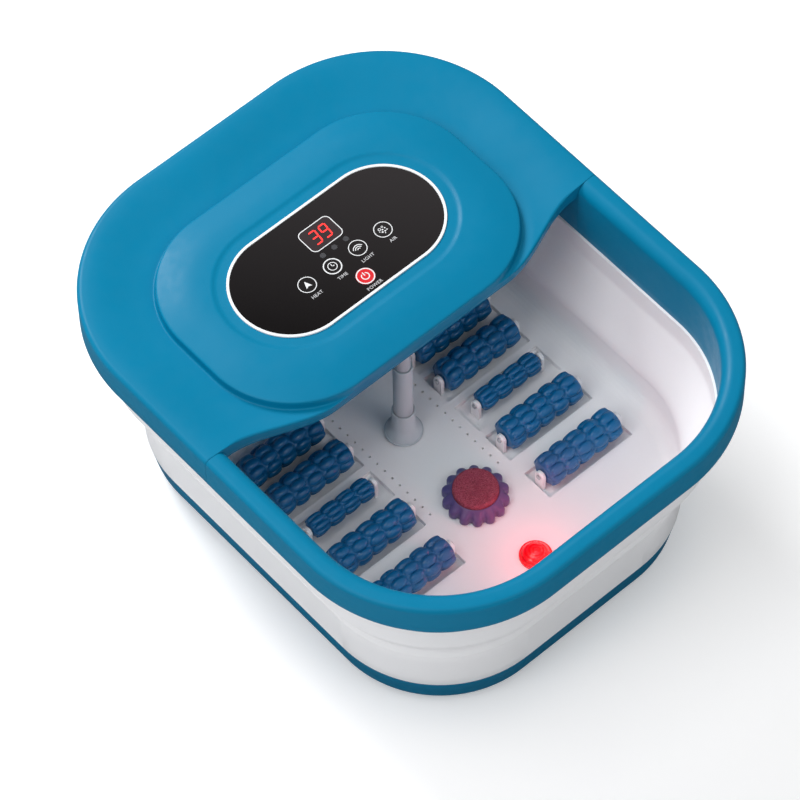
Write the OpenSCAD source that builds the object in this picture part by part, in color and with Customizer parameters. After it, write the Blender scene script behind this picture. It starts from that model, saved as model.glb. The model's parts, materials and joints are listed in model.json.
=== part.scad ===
// Collapsible pedicure foot bath, drawn open at full height.
// Frame: millimetres, +Z up, +Y towards the rear cover, +X to the user's right.
// Origin: on the floor, under the centre of the tub.

/* [Tub outline] */
// Length of the rim, front to rear
rim_l = 430; // [426:1:440]
// Width of the rim, side to side
rim_w = 356; // [352:1:366]
// Corner radius of the rim skirt, seen from above
rim_r = 116; // [112:1:118]
// Height of the rim top above the floor, open
rim_h = 196; // [194:1:204]
// Distance the rim drops when the tub is folded flat
stroke = 100; // [60:5:100]
// Moulded wall thickness
wall = 2.5; // [2:0.1:2.8]

/* [Wall bands] */
// Height of the hanging skirt below the rim top
skirt_drop = 26; // [22:1:30]
// Inset of the collar wall behind the skirt
collar_in = 14.5; // [13:0.5:16]
// Height at which the blue collar gives way to the white wall, inside face
collar_z = 142; // [138:1:146]
// Height of the upper end of the folding membrane
fold_top_z = 123; // [118:1:128]
// Height of the lower end of the folding membrane
fold_bottom_z = 75; // [72:1:75]
// Membrane thickness
fold_t = 1.8; // [1.4:0.1:2.4]
// Inset of the lower tub wall from the rim outline, at the membrane
tub_in = 32; // [31:0.5:34]
// Corner radius of the lower tub wall
tub_r = 92; // [88:1:94]
// Height of the joint between the base shell and the lower tub
base_z = 34.4; // [33:0.2:36]
// Height of the foot well floor
floor_z = 46; // [45:0.5:47]
// Thickness of the foot well floor
floor_t = 3; // [2.5:0.1:3.2]

/* [Rear cover] */
// Where the cover meets the open rim
seam_y = 5; // [0:1:8]
// How far the cover bulges in front of the seam, at the middle
bulge = 20.9; // [19:0.1:22]
// Half width of the control island
island_hw = 127.4; // [124:0.2:128]
// Half length of the control island
island_hl = 89.2; // [87:0.2:89.6]
// Corner radius of the control island
island_r = 70; // [66:0.5:72]
// Half width of the stadium control panel, over its trim ring
panel_hw = 86.2; // [84:0.1:88]
// Half length of the control panel, over its trim ring
panel_hl = 44.4; // [43.6:0.1:45]
// Diameter of the key caps
key_d = 13.7; // [12.4:0.1:14]
// Key travel
key_travel = 0.5; // [0.2:0.05:0.5]
// Key pitch along the row
key_pitch = 23; // [21.5:0.1:23.6]

/* [Massage floor] */
// Tip radius of a large roller
roller_r = 12.5; // [11:0.1:12.6]
// Tip radius of a slim roller
slim_r = 8.5; // [7.5:0.1:10]
// Length of a large roller
roller_len = 67.5; // [60:0.5:67.5]
// Length of a slim roller
slim_len = 55.5; // [48:0.5:57]
// Distance of the roller columns from the centre line
roller_x = 79; // [78:0.5:79.5]
// Axle radius
axle_r = 2; // [1.6:0.1:2.4]
// Radial running clearance of a roller on its axle
run_gap = 0.05; // [0.02:0.01:0.08]
// Outer radius of the scalloped massage head
head_r = 24.2; // [22:0.1:25]
// Radius of the red light lens
lens_r = 11.8; // [10:0.1:12]

/* [Hidden] */
$fn = 96;

blue = [0.10, 0.52, 0.68];
deep_blue = [0.06, 0.33, 0.48];
white = [0.93, 0.94, 0.95];
grey = [0.72, 0.76, 0.78];
black = [0.06, 0.06, 0.07];
steel = [0.75, 0.76, 0.78];
red = [0.90, 0.08, 0.10];
board_green = [0.1, 0.35, 0.2];
element_tan = [0.75, 0.68, 0.5];
pump_grey = [0.3, 0.3, 0.32];
component_grey = [0.2, 0.2, 0.22];
hose_clear = [0.85, 0.86, 0.86];
window_brown = [0.2, 0.16, 0.17];
led_grey = [0.35, 0.36, 0.38];
pumice_red = [0.62, 0.30, 0.35];

gap = 0.1; // between parts that only touch
rim_hw = rim_w / 2;
rim_hl = rim_l / 2;
tub_hw = rim_hw - tub_in;
tub_hl = rim_hl - tub_in;

// Heights
shell_z = 4;                       // underside of the base shell
floor_under_z = floor_z - floor_t;
axle_z = floor_z + 9.5;
skirt_z = rim_h - skirt_drop;      // lower edge of the skirt
lip_z = rim_h - 9;                 // where the lip curves into the collar
cover_z = rim_h - 5;               // dished top of the cover around the island
under_z = rim_h - 15.5;            // underside of the cover underside plate
island_z = rim_h + 3.6;            // top of the control island
panel_z = island_z + gap;          // top of the black panel
panel_t = 1.8;
board_t = 1.6;                     // thickness of the circuit boards
power_board_z = 12.1;              // power board underside
power_top_z = power_board_z + board_t + gap;
board_z = rim_h - 6.5;             // control board underside
board_top_z = board_z + board_t + gap;
key_z = panel_z - 3.5;             // underside of the key flanges

// Control island layout, along Y
island_y = seam_y - bulge + island_hl;
panel_y = island_y + 1.2;
key_y = panel_y - 8.3;
power_y = panel_y - 29.4;
led_y = panel_y + 3;
display_y = panel_y + 17.6;

// Foot well and base layout
rows = [-88.5, -47.4, -14.4, 18.5, 49.4]; // y of the roller rows, front to rear
slim_row = 2;                             // index of the row of slim rollers
head_at = [0, -68, 0];
lens_at = [0, -130.5, 0];
conduit_at = [0, 8, 0];
sensor_at = [30, 66, 0];
pump_at = [-72, 100, 0];
power_board_at = [64, 105, 0];
heater_y = 92;
manifold_x = 32; // each air channel from the centre line
cord_x = 45;     // cord exit through the shell
cord_z = 22;

// Points [x, y, 0] in the four corners around a middle, and in a left and right pair
function corners(x, y, about = [0, 0, 0]) =
  [for (sx = [-1, 1], sy = [-1, 1]) about + [sx * x, sy * y, 0]];
function pair(x, y) = [for (sx = [-1, 1]) [sx * x, y, 0]];

base_screw_spots = concat(corners(112, 112), corners(60, 160), pair(124, 0));
foot_spots = concat(corners(62, 131), pair(96, 0));
cover_screw_spots = concat(pair(132, 24), pair(136, 96), pair(62, 174));
power_board_spots = corners(34, 26, power_board_at);
pump_mount_spots = corners(27, 16, pump_at);
control_board_spots = corners(61, 27, [0, panel_y, 0]);
roller_spots = [for (s = [-1, 1], y = rows) [s * roller_x, y, 0]];
// Four keys in a row, then the power key
key_spots = concat([for (k = [-1.5:1:1.5]) [k * key_pitch, key_y, 0]], [[0, power_y, 0]]);
led_spots = [for (x = [-10.5, 0, 10.5]) [x, led_y, 0]];

// ---------- helpers ----------

// Arc of radius r about [cx, cy] from angle a0 to a1, in n steps
function arc(cx, cy, r, a0, a1, n) =
  [for (i = [0:n]) let (a = a0 + (a1 - a0) * i / n) [cx + r * cos(a), cy + r * sin(a)]];

function smooth(t) = t <= 0 ? 0 : t >= 1 ? 1 : t * t * (3 - 2 * t);

module raise(z) translate([0, 0, z]) children();

module at_all(points) for (p = points) translate(p) children();

// Flat rounded rectangle, half sizes a and b, corner radius r
module rounded_rect(a, b, r) {
  square([2 * a, 2 * (b - r)], center = true);
  square([2 * (a - r), 2 * b], center = true);
  for (x = [-1, 1], y = [-1, 1])
    translate([x * (a - r), y * (b - r)]) circle(r = r);
}

// Stadium lying along X
module stadium(a, b) {
  square([2 * (a - b), 2 * b], center = true);
  for (x = [-1, 1]) translate([x * (a - b), 0]) circle(r = b);
}

// Plans of the rim, tub, island and panel, inset or grown all round
module rim_plan(inset) rounded_rect(rim_hw - inset, rim_hl - inset, rim_r - inset);
module tub_plan(inset) rounded_rect(tub_hw - inset, tub_hl - inset, tub_r - inset);
module island_plan(inset)
  rounded_rect(island_hw - inset, island_hl - inset, island_r - inset);
module panel_plan(grow) stadium(panel_hw + grow, panel_hl + grow);

// A wall profile, points [inset, z], swept round a rounded rectangle
module sweep(a, b, r, profile) {
  section = [for (q = profile) [r - q[0], q[1]]];
  for (sx = [0, 1], sy = [0, 1])
    mirror([sx, 0, 0]) mirror([0, sy, 0])
      translate([a - r, b - r, 0]) rotate_extrude(angle = 90) polygon(section);
  for (s = [0, 1]) mirror([s, 0, 0])
    translate([a - r, 0, 0]) rotate([90, 0, 0])
      linear_extrude(height = 2 * (b - r), center = true) polygon(section);
  for (s = [0, 1]) mirror([0, s, 0])
    translate([0, b - r, 0]) rotate([0, 0, 90]) rotate([90, 0, 0])
      linear_extrude(height = 2 * (a - r), center = true) polygon(section);
}

// Straight round rod between two points
module rod(start, end, r) {
  v = end - start;
  l = norm(v);
  translate(start) rotate([0, acos(v[2] / l), atan2(v[1], v[0])]) cylinder(r = r, h = l);
}

// Round bar bent about Z
module bent_bar(bend_r, r, angle = 90)
  rotate_extrude(angle = angle) translate([bend_r, 0]) circle(r = r);

// Block over everything in front of y_end, for cutting
module front_block(y_end, z, h)
  translate([-rim_hw - 5, -rim_hl - 5, z]) cube([2 * rim_hw + 10, rim_hl + y_end + 5, h]);

// Cutter for a cross recess in a screw head
module cross_slot(h) for (a = [0, 90]) rotate(a) cube([3.6, 0.9, h], center = true);

// ---------- base ----------

// Quarter ellipse of the shell's lower edge, points [inset, z]
function shell_curve(angles, width, centre_z, height) =
  [for (a = angles) [35 - width * cos(a), centre_z - height * sin(a)]];

shell_profile = concat(
  [[2, base_z]],
  shell_curve([0:9:90], 29.3, 14, 10),
  [[38, shell_z], [38, shell_z + wall]],
  shell_curve([90:-9:0], 26.8, 14.4, 10.4 - wall),
  [[4.4, base_z]]);

module bottom_shell() color(deep_blue)
  difference() {
    union() {
      sweep(tub_hw, tub_hl, tub_r, shell_profile);
      raise(shell_z) linear_extrude(wall) tub_plan(36);
      at_all(base_screw_spots) raise(4.6) cylinder(r = 5, h = 19.3);
      at_all(power_board_spots) raise(5) cylinder(r = 3.4, h = 7);
    }
    at_all(base_screw_spots) {
      raise(-1) cylinder(r = 3.6, h = 11);
      cylinder(r = 1.9, h = 40);
    }
    at_all(power_board_spots) raise(8) cylinder(r = 1.2, h = 10);
    at_all(foot_spots) cylinder(r = 3.2, h = 12);
    // air inlet slots under the pump
    for (i = [-2:2]) translate(pump_at + [i * 8, 0, 5]) cube([3, 30, 6], center = true);
    // cord exit
    translate([cord_x, tub_hl, cord_z]) rotate([90, 0, 0])
      cylinder(r = 5.5, h = 30, center = true);
  }

function roller_span(row) = row == slim_row ? slim_len : roller_len;

ear_t = 3;

// Support ear for an axle end
module ear(x, y)
  translate([x, y, 0]) difference() {
    union() {
      translate([-ear_t / 2, -4, floor_z - 5]) cube([ear_t, 8, axle_z - floor_z + 5]);
      translate([-ear_t / 2, 0, axle_z]) rotate([0, 90, 0]) cylinder(r = 4, h = ear_t);
    }
    translate([-5, 0, axle_z]) rotate([0, 90, 0]) cylinder(r = axle_r + 0.02, h = 10);
  }

tub_profile = concat(
  [[2, base_z], [0, fold_bottom_z], [wall, fold_bottom_z], [3.2, floor_z + 12]],
  [for (t = [0:15:90]) [15.2 - 12 * cos(t), floor_z + 12 - 12 * sin(t)]],
  [[15.2, floor_z - 1.5], [4.2, floor_z - 1.5], [2 + wall, base_z]]);

module lower_tub() color(white) {
  difference() {
    union() {
      sweep(tub_hw, tub_hl, tub_r, tub_profile);
      raise(floor_under_z) linear_extrude(floor_t) tub_plan(2.6);
      // roller troughs, sunk below the floor
      at_all(roller_spots) {
        raise(floor_z - 6.1) cube([83, 28, 3.3], center = true);
        raise(floor_z - 4) cube([83, 28, 4], center = true);
      }
      at_all(base_screw_spots) raise(24) cylinder(r = 4.6, h = floor_z - 25);
      // spigot for the massage head
      translate(head_at) raise(floor_z - 1) cylinder(r = 6, h = 12);
      // lamp socket under the floor
      translate(lens_at) raise(floor_z - 11) cylinder(r = 13, h = 10);
    }
    at_all(roller_spots) raise(floor_z) cube([79, 26.6, 9], center = true);
    at_all(base_screw_spots) raise(20) cylinder(r = 1.45, h = floor_z - 24);
    translate(head_at) raise(floor_z - 5) cylinder(r = 3.5, h = 14);
    translate(lens_at) raise(floor_z - 20) cylinder(r = 9.2, h = 40);
    translate(conduit_at) raise(floor_z - 10) cylinder(r = 8.7, h = 20);
    translate(sensor_at) raise(floor_z - 10) cylinder(r = 3.1, h = 20);
    // air outlets
    for (s = [-1, 1], k = [-7:7])
      translate([s * manifold_x, k * 8, floor_z - 6]) cylinder(r = 0.9, h = 10);
  }
  for (s = [-1, 1], i = [0:4], end = [-1, 1])
    ear(s * roller_x + end * (roller_span(i) / 2 + 1 + ear_t / 2), rows[i]);
}

wall_in = 15.5; // inset of the upper wall and of the top of the membrane
fold_in = 20.5; // how far the membrane slopes inwards

// Point [inset, z] at step i of 5 down the membrane slope
function fold_point(i, inset = 0, lift = 0) =
  let (t = i / 5)
  [fold_in * (smooth(t) * 0.55 + t * 0.45) + inset,
   fold_top_z + lift - (fold_top_z - fold_bottom_z - 8) * t];

fold_profile = concat(
  [[0, fold_top_z]],
  [for (i = [1:4]) fold_point(i)],
  [[20.3, fold_bottom_z + 8.5], [19, fold_bottom_z + 3.5], [16.8, fold_bottom_z]],
  [[19, fold_bottom_z], [21.2, fold_bottom_z + 3.2], [22.2, fold_bottom_z + 8.5]],
  [for (i = [4:-1:1]) fold_point(i, fold_t, 0.6)],
  [[fold_t + 0.4, fold_top_z]]);

module wall_membrane() color(white)
  sweep(rim_hw - wall_in, rim_hl - wall_in, 101.5, fold_profile);

module rubber_feet() color(black)
  at_all(foot_spots) difference() {
    union() {
      cylinder(r1 = 11, r2 = 12, h = 1.5);
      raise(1.5) cylinder(r = 12, h = 2.4);
      cylinder(r = 3, h = 8.4);
      raise(7) cylinder(r1 = 4.2, r2 = 2.6, h = 2.6); // barb above the shell
    }
    raise(-1) cylinder(r = 1.2, h = 6);
  }

module base_screws() color(steel)
  at_all(base_screw_spots) difference() {
    union() {
      raise(7.6) cylinder(r = 3.2, h = 2.3);
      raise(9) cylinder(r = 1.4, h = 27);
    }
    raise(7) cross_slot(3);
  }

// ---------- heater and sensor ----------

module heater_plate() color(steel)
  translate([0, heater_y, floor_under_z - gap - 1])
    linear_extrude(2, center = true) rounded_rect(26, 62, 8);

module heating_element() color(element_tan)
  for (x = [-14, 0, 14])
    translate([x, heater_y, floor_under_z - 5.6]) cube([9, 108, 6.6], center = true);

module thermal_cutout() color(black)
  for (s = [-1, 1])
    translate([-21.5, heater_y + s * 32, floor_under_z - 5.7]) cylinder(r = 2.9, h = 3.3);

module temp_sensor() color(steel)
  translate(sensor_at) {
    raise(floor_z - 9) cylinder(r = 3, h = 12);
    raise(floor_z + gap) cylinder(r = 4.4, h = 1.4);
    raise(floor_z + 3) sphere(r = 2.94, $fn = 48);
  }

// ---------- air supply ----------

pump_z = 9.6;          // underside of the pump
hose_in_x = -60;       // pump nozzle and the hose over it
hose_z = 22;
hose_y = 57.5;         // cross run of the hose
hose_run = 14.6;
hose_bend = 6;
hose_corner_x = hose_in_x + hose_bend + hose_run;
hose_out_x = hose_corner_x + hose_bend;
air_bore_r = 1.4;
manifold_z = floor_under_z - 3.1;
crossover_y = -30;     // pipe joining the two channels

module air_pump() color(pump_grey)
  difference() {
    union() {
      translate(pump_at) raise(pump_z) linear_extrude(22) rounded_rect(28, 22, 6);
      translate(pump_at) raise(31) linear_extrude(2.4) rounded_rect(24, 18, 5);
      translate([hose_in_x, 80, hose_z]) rotate([90, 0, 0]) cylinder(r = 2.5, h = 12);
      at_all(pump_mount_spots) raise(pump_z) cylinder(r = 5, h = 3);
    }
    translate([hose_in_x, 79, hose_z]) rotate([90, 0, 0]) cylinder(r = air_bore_r, h = 20);
    at_all(pump_mount_spots) raise(9) cylinder(r = 2, h = 5);
  }

module pump_mounts() color(black)
  at_all(pump_mount_spots) raise(6.6) {
    cylinder(r = 4.4, h = 2.9);
    cylinder(r = 1.9, h = 6.4);
  }

// Hose run: forward from the pump, across to the right, then up to the manifold
module hose_path(r, extra_in = 0, extra_out = 0) {
  translate([hose_in_x, 76.5 + extra_in, hose_z]) rotate([90, 0, 0])
    cylinder(r = r, h = 13 + extra_in);
  translate([hose_in_x + hose_bend, hose_y + hose_bend, hose_z]) rotate([0, 0, 180])
    bent_bar(hose_bend, r);
  translate([hose_in_x + hose_bend, hose_y, hose_z]) rotate([0, 90, 0])
    cylinder(r = r, h = hose_run);
  translate([hose_corner_x, hose_y, hose_z + hose_bend]) rotate([90, 90, 0])
    bent_bar(hose_bend, r);
  translate([hose_out_x, hose_y, hose_z + hose_bend]) cylinder(r = r, h = 6.6 + extra_out);
}

module air_hose() color(hose_clear)
  difference() {
    hose_path(4);
    hose_path(2.55, extra_in = 0.5, extra_out = 0.4);
  }

module air_manifold() color(grey)
  difference() {
    union() {
      for (s = [-1, 1])
        translate([s * manifold_x, 0, manifold_z]) cube([6.4, 123, 6], center = true);
      translate([0, crossover_y, manifold_z]) rotate([0, 90, 0])
        cylinder(r = 2.4, h = 64, center = true);
      translate([hose_out_x, hose_y, 29]) cylinder(r = 2.5, h = 9);
    }
    for (s = [-1, 1])
      translate([s * manifold_x, 0, manifold_z + 0.9]) cube([4, 119, 6], center = true);
    translate([0, crossover_y, manifold_z]) rotate([0, 90, 0])
      cylinder(r = air_bore_r, h = 66, center = true);
    translate([hose_out_x, hose_y, 28]) cylinder(r = air_bore_r, h = 10);
  }

// ---------- power board ----------

module power_board() color(board_green)
  difference() {
    translate(power_board_at) raise(power_board_z)
      linear_extrude(board_t) square([76, 60], center = true);
    at_all(power_board_spots) cylinder(r = 1.6, h = 20);
  }

// Boxes: [x, y, size]
board_boxes = [[50, 108, [26, 22, 18]], [74, 94, [19, 15, 14]], [48, 86, [24, 6, 8]]];
// Cylinders: [x, y, radius, height]
board_cans = [[76, 118, 6, 16], [90, 106, 4.5, 14]];

module board_components() color(component_grey) {
  for (b = board_boxes)
    translate([b[0], b[1], power_top_z + b[2][2] / 2]) cube(b[2], center = true);
  for (c = board_cans)
    translate([c[0], c[1], power_top_z]) cylinder(r = c[2], h = c[3]);
}

module board_screws() color(steel)
  at_all(power_board_spots) {
    raise(power_top_z) cylinder(r = 2.6, h = 1.6);
    raise(8.2) cylinder(r = 1.15, h = 6);
  }

// ---------- lamp and axles ----------

module red_lens() color(red)
  translate(lens_at) difference() {
    union() {
      raise(floor_z + gap) cylinder(r = lens_r, h = 1.6);
      raise(floor_z - 5) cylinder(r = 9.1, h = 7);
      // domed top
      intersection() {
        raise(floor_z - 4.4) sphere(r = 12.6);
        raise(floor_z + 1) cylinder(r = 10.9, h = 20);
      }
    }
    raise(floor_z - 6) cylinder(r = 7.2, h = 9);
  }

module led_board() color(board_green)
  translate(lens_at) raise(floor_z - 12.7) {
    cylinder(r = 11, h = board_t);
    for (a = [0:60:300]) rotate(a) translate([4.6, 0, 1.5]) cylinder(r = 1.5, h = 2.6);
  }

module roller_axles() color(steel)
  for (s = [-1, 1], i = [0:4])
    translate([s * roller_x, rows[i], axle_z]) rotate([0, 90, 0])
      cylinder(r = axle_r, h = roller_span(i) + 10, center = true);

// ---------- telescopic conduit, three stages ----------

overlap = 3.5;                          // of neighbouring stages, open
lower_foot_z = 23.5;
lower_top_z = under_z - stroke - 6;
middle_foot_z = lower_top_z - overlap;
middle_len = under_z - stroke - 0.6 - (middle_foot_z - stroke / 2);
upper_foot_z = middle_foot_z + middle_len - overlap;

module conduit_lower() color(grey)
  translate(conduit_at) difference() {
    union() {
      raise(lower_foot_z) cylinder(r = 8.5, h = lower_top_z - lower_foot_z);
      raise(floor_z + 1) cylinder(r = 14, h = 2);
      raise(floor_z + 2.9) cylinder(r1 = 13.2, r2 = 8.4, h = 8);
    }
    raise(lower_foot_z - 1) cylinder(r = 7.3, h = lower_top_z);
  }

module conduit_seal() color(black)
  translate(conduit_at) raise(floor_z + 0.05) difference() {
    cylinder(r = 13, h = 0.9);
    raise(-1) cylinder(r = 8.6, h = 3);
  }

module conduit_middle() color(grey)
  translate(conduit_at) difference() {
    raise(middle_foot_z) cylinder(r = 7.1, h = middle_len);
    raise(middle_foot_z - 1) cylinder(r = 5.9, h = middle_len + 2);
  }

module conduit_upper() color(grey)
  translate(conduit_at) difference() {
    union() {
      raise(upper_foot_z) cylinder(r = 5.7, h = under_z + wall + 1 - upper_foot_z);
      raise(under_z + wall + 0.05) cylinder(r = 8.5, h = 1.4);
    }
    raise(upper_foot_z - 1) cylinder(r = 4.5, h = 200);
  }

// ---------- wiring and mains cord ----------

// Wire ends: [start, end]
leads = [
  [[40, 82.7, 17.8], [7, -121.5, 31]], // lamp
  [[30, 104, 15], [22, 112, 32]],      // heater
  [[29, 97, 15], [-43.4, 97, 20]],     // pump
  [[28, 90, 15], [3, 15, 18]],         // conduit
  [[2, 10, 16.5], [2, 10, 60]]         // up the conduit
];

module lead_wires() color(red) for (w = leads) rod(w[0], w[1], 1.1);

cord_r = 3;
cord_hole_r = cord_r + 0.1;
cord_bend = 8;
cord_bend_y = tub_hl + 5.5;    // where the cord starts to turn down
coil_at = [-20, 199.4, 0];     // bundled cord behind the shell
plug_at = [110, 181, 8.2];
plug_len = 30;
tail_offset = [0, 2, -2.2];    // cord entry, from the plug's middle

module strain_relief() color(black)
  translate([cord_x, 0, cord_z]) rotate([-90, 0, 0]) difference() {
    union() {
      raise(tub_hl - 14) cylinder(r = 8, h = 4.5);
      raise(tub_hl - 10) cylinder(r = 5.4, h = 10);
      raise(tub_hl - 1.6) cylinder(r = 8, h = 2.2);
      raise(tub_hl) cylinder(r1 = 5.6, r2 = 4.3, h = 5);
    }
    raise(tub_hl - 20) cylinder(r = cord_hole_r, h = 40);
  }

// Flat cord loop with straight runs of length 2 * half
module cord_loop(bend_r, z, half)
  translate(coil_at) raise(z) {
    for (s = [-1, 1])
      translate([-half, s * bend_r, 0]) rotate([0, 90, 0]) cylinder(r = cord_r, h = 2 * half);
    for (s = [-1, 1])
      translate([s * half, 0, 0]) rotate(-s * 90) bent_bar(bend_r, cord_r, 180);
  }

// Loops: [bend radius, z, half straight length]
cord_loops = [[9.6, 3.2, 44], [3.3, 3.2, 40], [9.6, 9.6, 44], [3.3, 9.6, 40], [9.2, 16, 42]];

module power_cord() color(white) {
  // run from the power board through the casing wall, then down behind it
  translate([cord_x, 124, cord_z]) rotate([-90, 0, 0])
    cylinder(r = cord_r, h = cord_bend_y - 124);
  translate([cord_x, cord_bend_y, cord_z - cord_bend]) rotate([0, -90, 0])
    bent_bar(cord_bend, cord_r);
  translate([cord_x, cord_bend_y + cord_bend, 5]) cylinder(r = cord_r, h = 9);
  for (l = cord_loops) cord_loop(l[0], l[1], l[2]);
  // tail into the plug
  translate(plug_at + tail_offset + [-57, 0, 0]) rotate([0, 90, 0])
    cylinder(r = cord_r, h = 47.5);
}

tie_h = 19.5;

module cord_tie() color(black)
  translate(coil_at) raise(tie_h / 2) difference() {
    cube([14, 30, tie_h], center = true);
    cube([16, 26.6, tie_h - 0.4], center = true);
  }

module mains_plug() color(white)
  translate(plug_at) {
    difference() {
      rotate([0, 90, 0]) linear_extrude(plug_len, center = true) rounded_rect(8, 12, 5);
      translate(tail_offset + [-15.5, 0, 0]) rotate([0, 90, 0])
        cylinder(r = cord_hole_r, h = 8);
    }
    // sleeve round the cord
    translate(tail_offset + [-18, 0, 0]) rotate([0, 90, 0]) difference() {
      cylinder(r = 5, h = 6.2, center = true);
      cylinder(r = cord_hole_r, h = 8, center = true);
    }
  }

module plug_pins() color(steel)
  for (s = [-1, 1])
    translate(plug_at + [plug_len / 2 + gap, s * 7.5, 0]) rotate([0, 90, 0]) {
      cylinder(r = 2.4, h = 14);
      raise(13.2) sphere(r = 2.35, $fn = 32);
    }

// ---------- folding rim ----------

// Parts of the rim profiles, points [inset, z]
collar_back = collar_in + wall;
skirt_outer = concat([[0, skirt_z], [0, rim_h - 3.5]],
                     arc(3.5, rim_h - 3.5, 3.5, 150, 90, 3), [[8, rim_h]]);
skirt_inner = [[4.2, rim_h - 2.5], [2.5, rim_h - 4.4], [2.5, skirt_z]];
collar_face = [[collar_back, collar_z], [collar_in, collar_z + 3], [collar_in, lip_z]];

module rim_frame() color(blue) {
  difference() {
    sweep(rim_hw, rim_hl, rim_r, concat(
      skirt_outer, arc(8, lip_z, 9, 75, 0, 5), collar_face,
      arc(8, lip_z, 6.5, 25, 90, 3), skirt_inner));
    translate([-rim_hw - 5, seam_y - gap, skirt_z - 5])
      cube([2 * rim_hw + 10, rim_hl + 10, 60]);
  }
  // the low collar that carries the rear cover
  difference() {
    sweep(rim_hw, rim_hl, rim_r, concat(collar_face, [[collar_back, lip_z]]));
    front_block(seam_y - 2, collar_z - 5, 80);
  }
}

module upper_wall() color(white)
  sweep(rim_hw, rim_hl, rim_r,
    [[wall_in, fold_top_z + gap], [wall_in, collar_z + 1.6], [collar_back, collar_z - 0.2],
     [18, collar_z - 0.2], [18, fold_top_z + gap]]);

// ---------- rear cover ----------

// Front edge of the cover: seam_y at the rim, bulging forward over the island
function front_y(x) = seam_y - bulge * smooth((rim_hw - 21 - abs(x)) / (rim_hw - 100));

// Area behind the cover's front edge, pulled back by setback
module cover_plan(setback)
  polygon(concat(
    [for (i = [-40:40]) let (x = i * (rim_hw - 20) / 40) [x, front_y(x) + setback]],
    [[rim_hw + 20, seam_y + setback], [rim_hw + 20, rim_hl + 20],
     [-rim_hw - 20, rim_hl + 20], [-rim_hw - 20, seam_y + setback]]));

cover_edge_profile = concat(
  skirt_outer,
  [[12.5, rim_h - 1.1], [16.5, rim_h - 3.4], [21, cover_z], [21, cover_z - wall],
   [14.5, cover_z - wall], [11, rim_h - 4.2], [8, rim_h - 2.5]],
  skirt_inner);

island_profile = [
  [0, cover_z - wall], [0, rim_h - 2.4], [0.8, rim_h - 0.2], [3, rim_h + 1.8],
  [7.4, rim_h + 3], [14, island_z], [14, island_z - wall], [8, rim_h + 0.6],
  [4.4, rim_h - 0.8], [2.6, rim_h - 2.8], [2.5, cover_z - wall]];

module cover_edge()
  difference() {
    sweep(rim_hw, rim_hl, rim_r, cover_edge_profile);
    front_block(seam_y + gap, skirt_z - 5, 60);
  }

module cover_dish()
  intersection() {
    raise(cover_z - wall) linear_extrude(wall) rim_plan(19);
    raise(cover_z - wall - 1) linear_extrude(wall + 2) cover_plan(0);
  }

module cover_front_wall()
  difference() {
    intersection() {
      raise(under_z + 2.6) linear_extrude(cover_z - under_z - 2.7) rim_plan(17.2);
      raise(under_z + 1) linear_extrude(20) cover_plan(0);
    }
    raise(under_z) linear_extrude(30) cover_plan(wall);
  }

module control_island()
  translate([0, island_y, 0]) {
    sweep(island_hw, island_hl, island_r, island_profile);
    difference() {
      raise(island_z - wall) linear_extrude(wall) island_plan(13);
      translate([0, panel_y - island_y, island_z - 10]) linear_extrude(20) panel_plan(gap);
    }
  }

module rear_cover() color(blue)
  difference() {
    union() {
      cover_edge();
      cover_dish();
      cover_front_wall();
      control_island();
      at_all(cover_screw_spots) raise(under_z + 2.6)
        cylinder(r = 4, h = cover_z - under_z - 3.6);
    }
    // open under the island
    translate([0, island_y, cover_z - wall - 1]) linear_extrude(wall + 1.5) island_plan(2.5);
    at_all(cover_screw_spots) raise(under_z) cylinder(r = 1.45, h = 8);
  }

module cover_underside() color(blue)
  difference() {
    union() {
      intersection() {
        raise(under_z) linear_extrude(wall) rim_plan(collar_back + 0.2);
        raise(under_z - 1) linear_extrude(wall + 2) cover_plan(1.2);
      }
      // posts and locating pins for the control board
      at_all(control_board_spots) {
        raise(under_z + 1) cylinder(r = 3.2, h = board_z - under_z - 1.1);
        raise(board_z - 1) cylinder(r = 1.5, h = 4);
      }
    }
    at_all(cover_screw_spots) raise(under_z - 1) cylinder(r = 1.9, h = 8);
    translate(conduit_at) raise(under_z - 1) cylinder(r = 5.75, h = 8);
  }

seal_bottom_z = lip_z + 0.05;
seal_top_z = cover_z - wall - 0.05;

module cover_seal() color(black)
  difference() {
    sweep(rim_hw, rim_hl, rim_r,
      [[collar_in, seal_bottom_z], [collar_in, seal_top_z],
       [collar_back, seal_top_z], [collar_back, seal_bottom_z]]);
    front_block(seam_y + 1, rim_h - 20, 60);
  }

module cover_screws() color(steel)
  at_all(cover_screw_spots) difference() {
    union() {
      raise(under_z - 2) cylinder(r = 3.2, h = 1.95);
      raise(under_z - 1) cylinder(r = 1.4, h = 8.6);
    }
    raise(under_z - 2) cross_slot(2);
  }

// ---------- control panel ----------

led_r = 2.1;
// Half width, half length and corner radius of the display window
window_hw = 13.65;
window_hl = 10.05;
window_r = 4.2;

module panel_bezel() color(white)
  translate([0, panel_y, 0]) difference() {
    union() {
      raise(island_z - 4) linear_extrude(4.7) panel_plan(0);
      raise(island_z - wall - 1.6) linear_extrude(1.5) panel_plan(2.4); // flange
    }
    raise(panel_z - 1.9) linear_extrude(6) panel_plan(-2);
    raise(island_z - 10) linear_extrude(16) panel_plan(-3.6);
  }

module control_panel() color(black)
  difference() {
    translate([0, panel_y, panel_z - panel_t]) linear_extrude(panel_t) panel_plan(-2.1);
    at_all(key_spots) raise(panel_z - 4) cylinder(r = key_d / 2 + 0.06, h = 8);
    at_all(led_spots) raise(panel_z - 4) cylinder(r = led_r + gap, h = 8);
    translate([0, display_y, panel_z - 4]) linear_extrude(8)
      rounded_rect(window_hw + gap, window_hl + gap, window_r + gap);
  }

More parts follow.
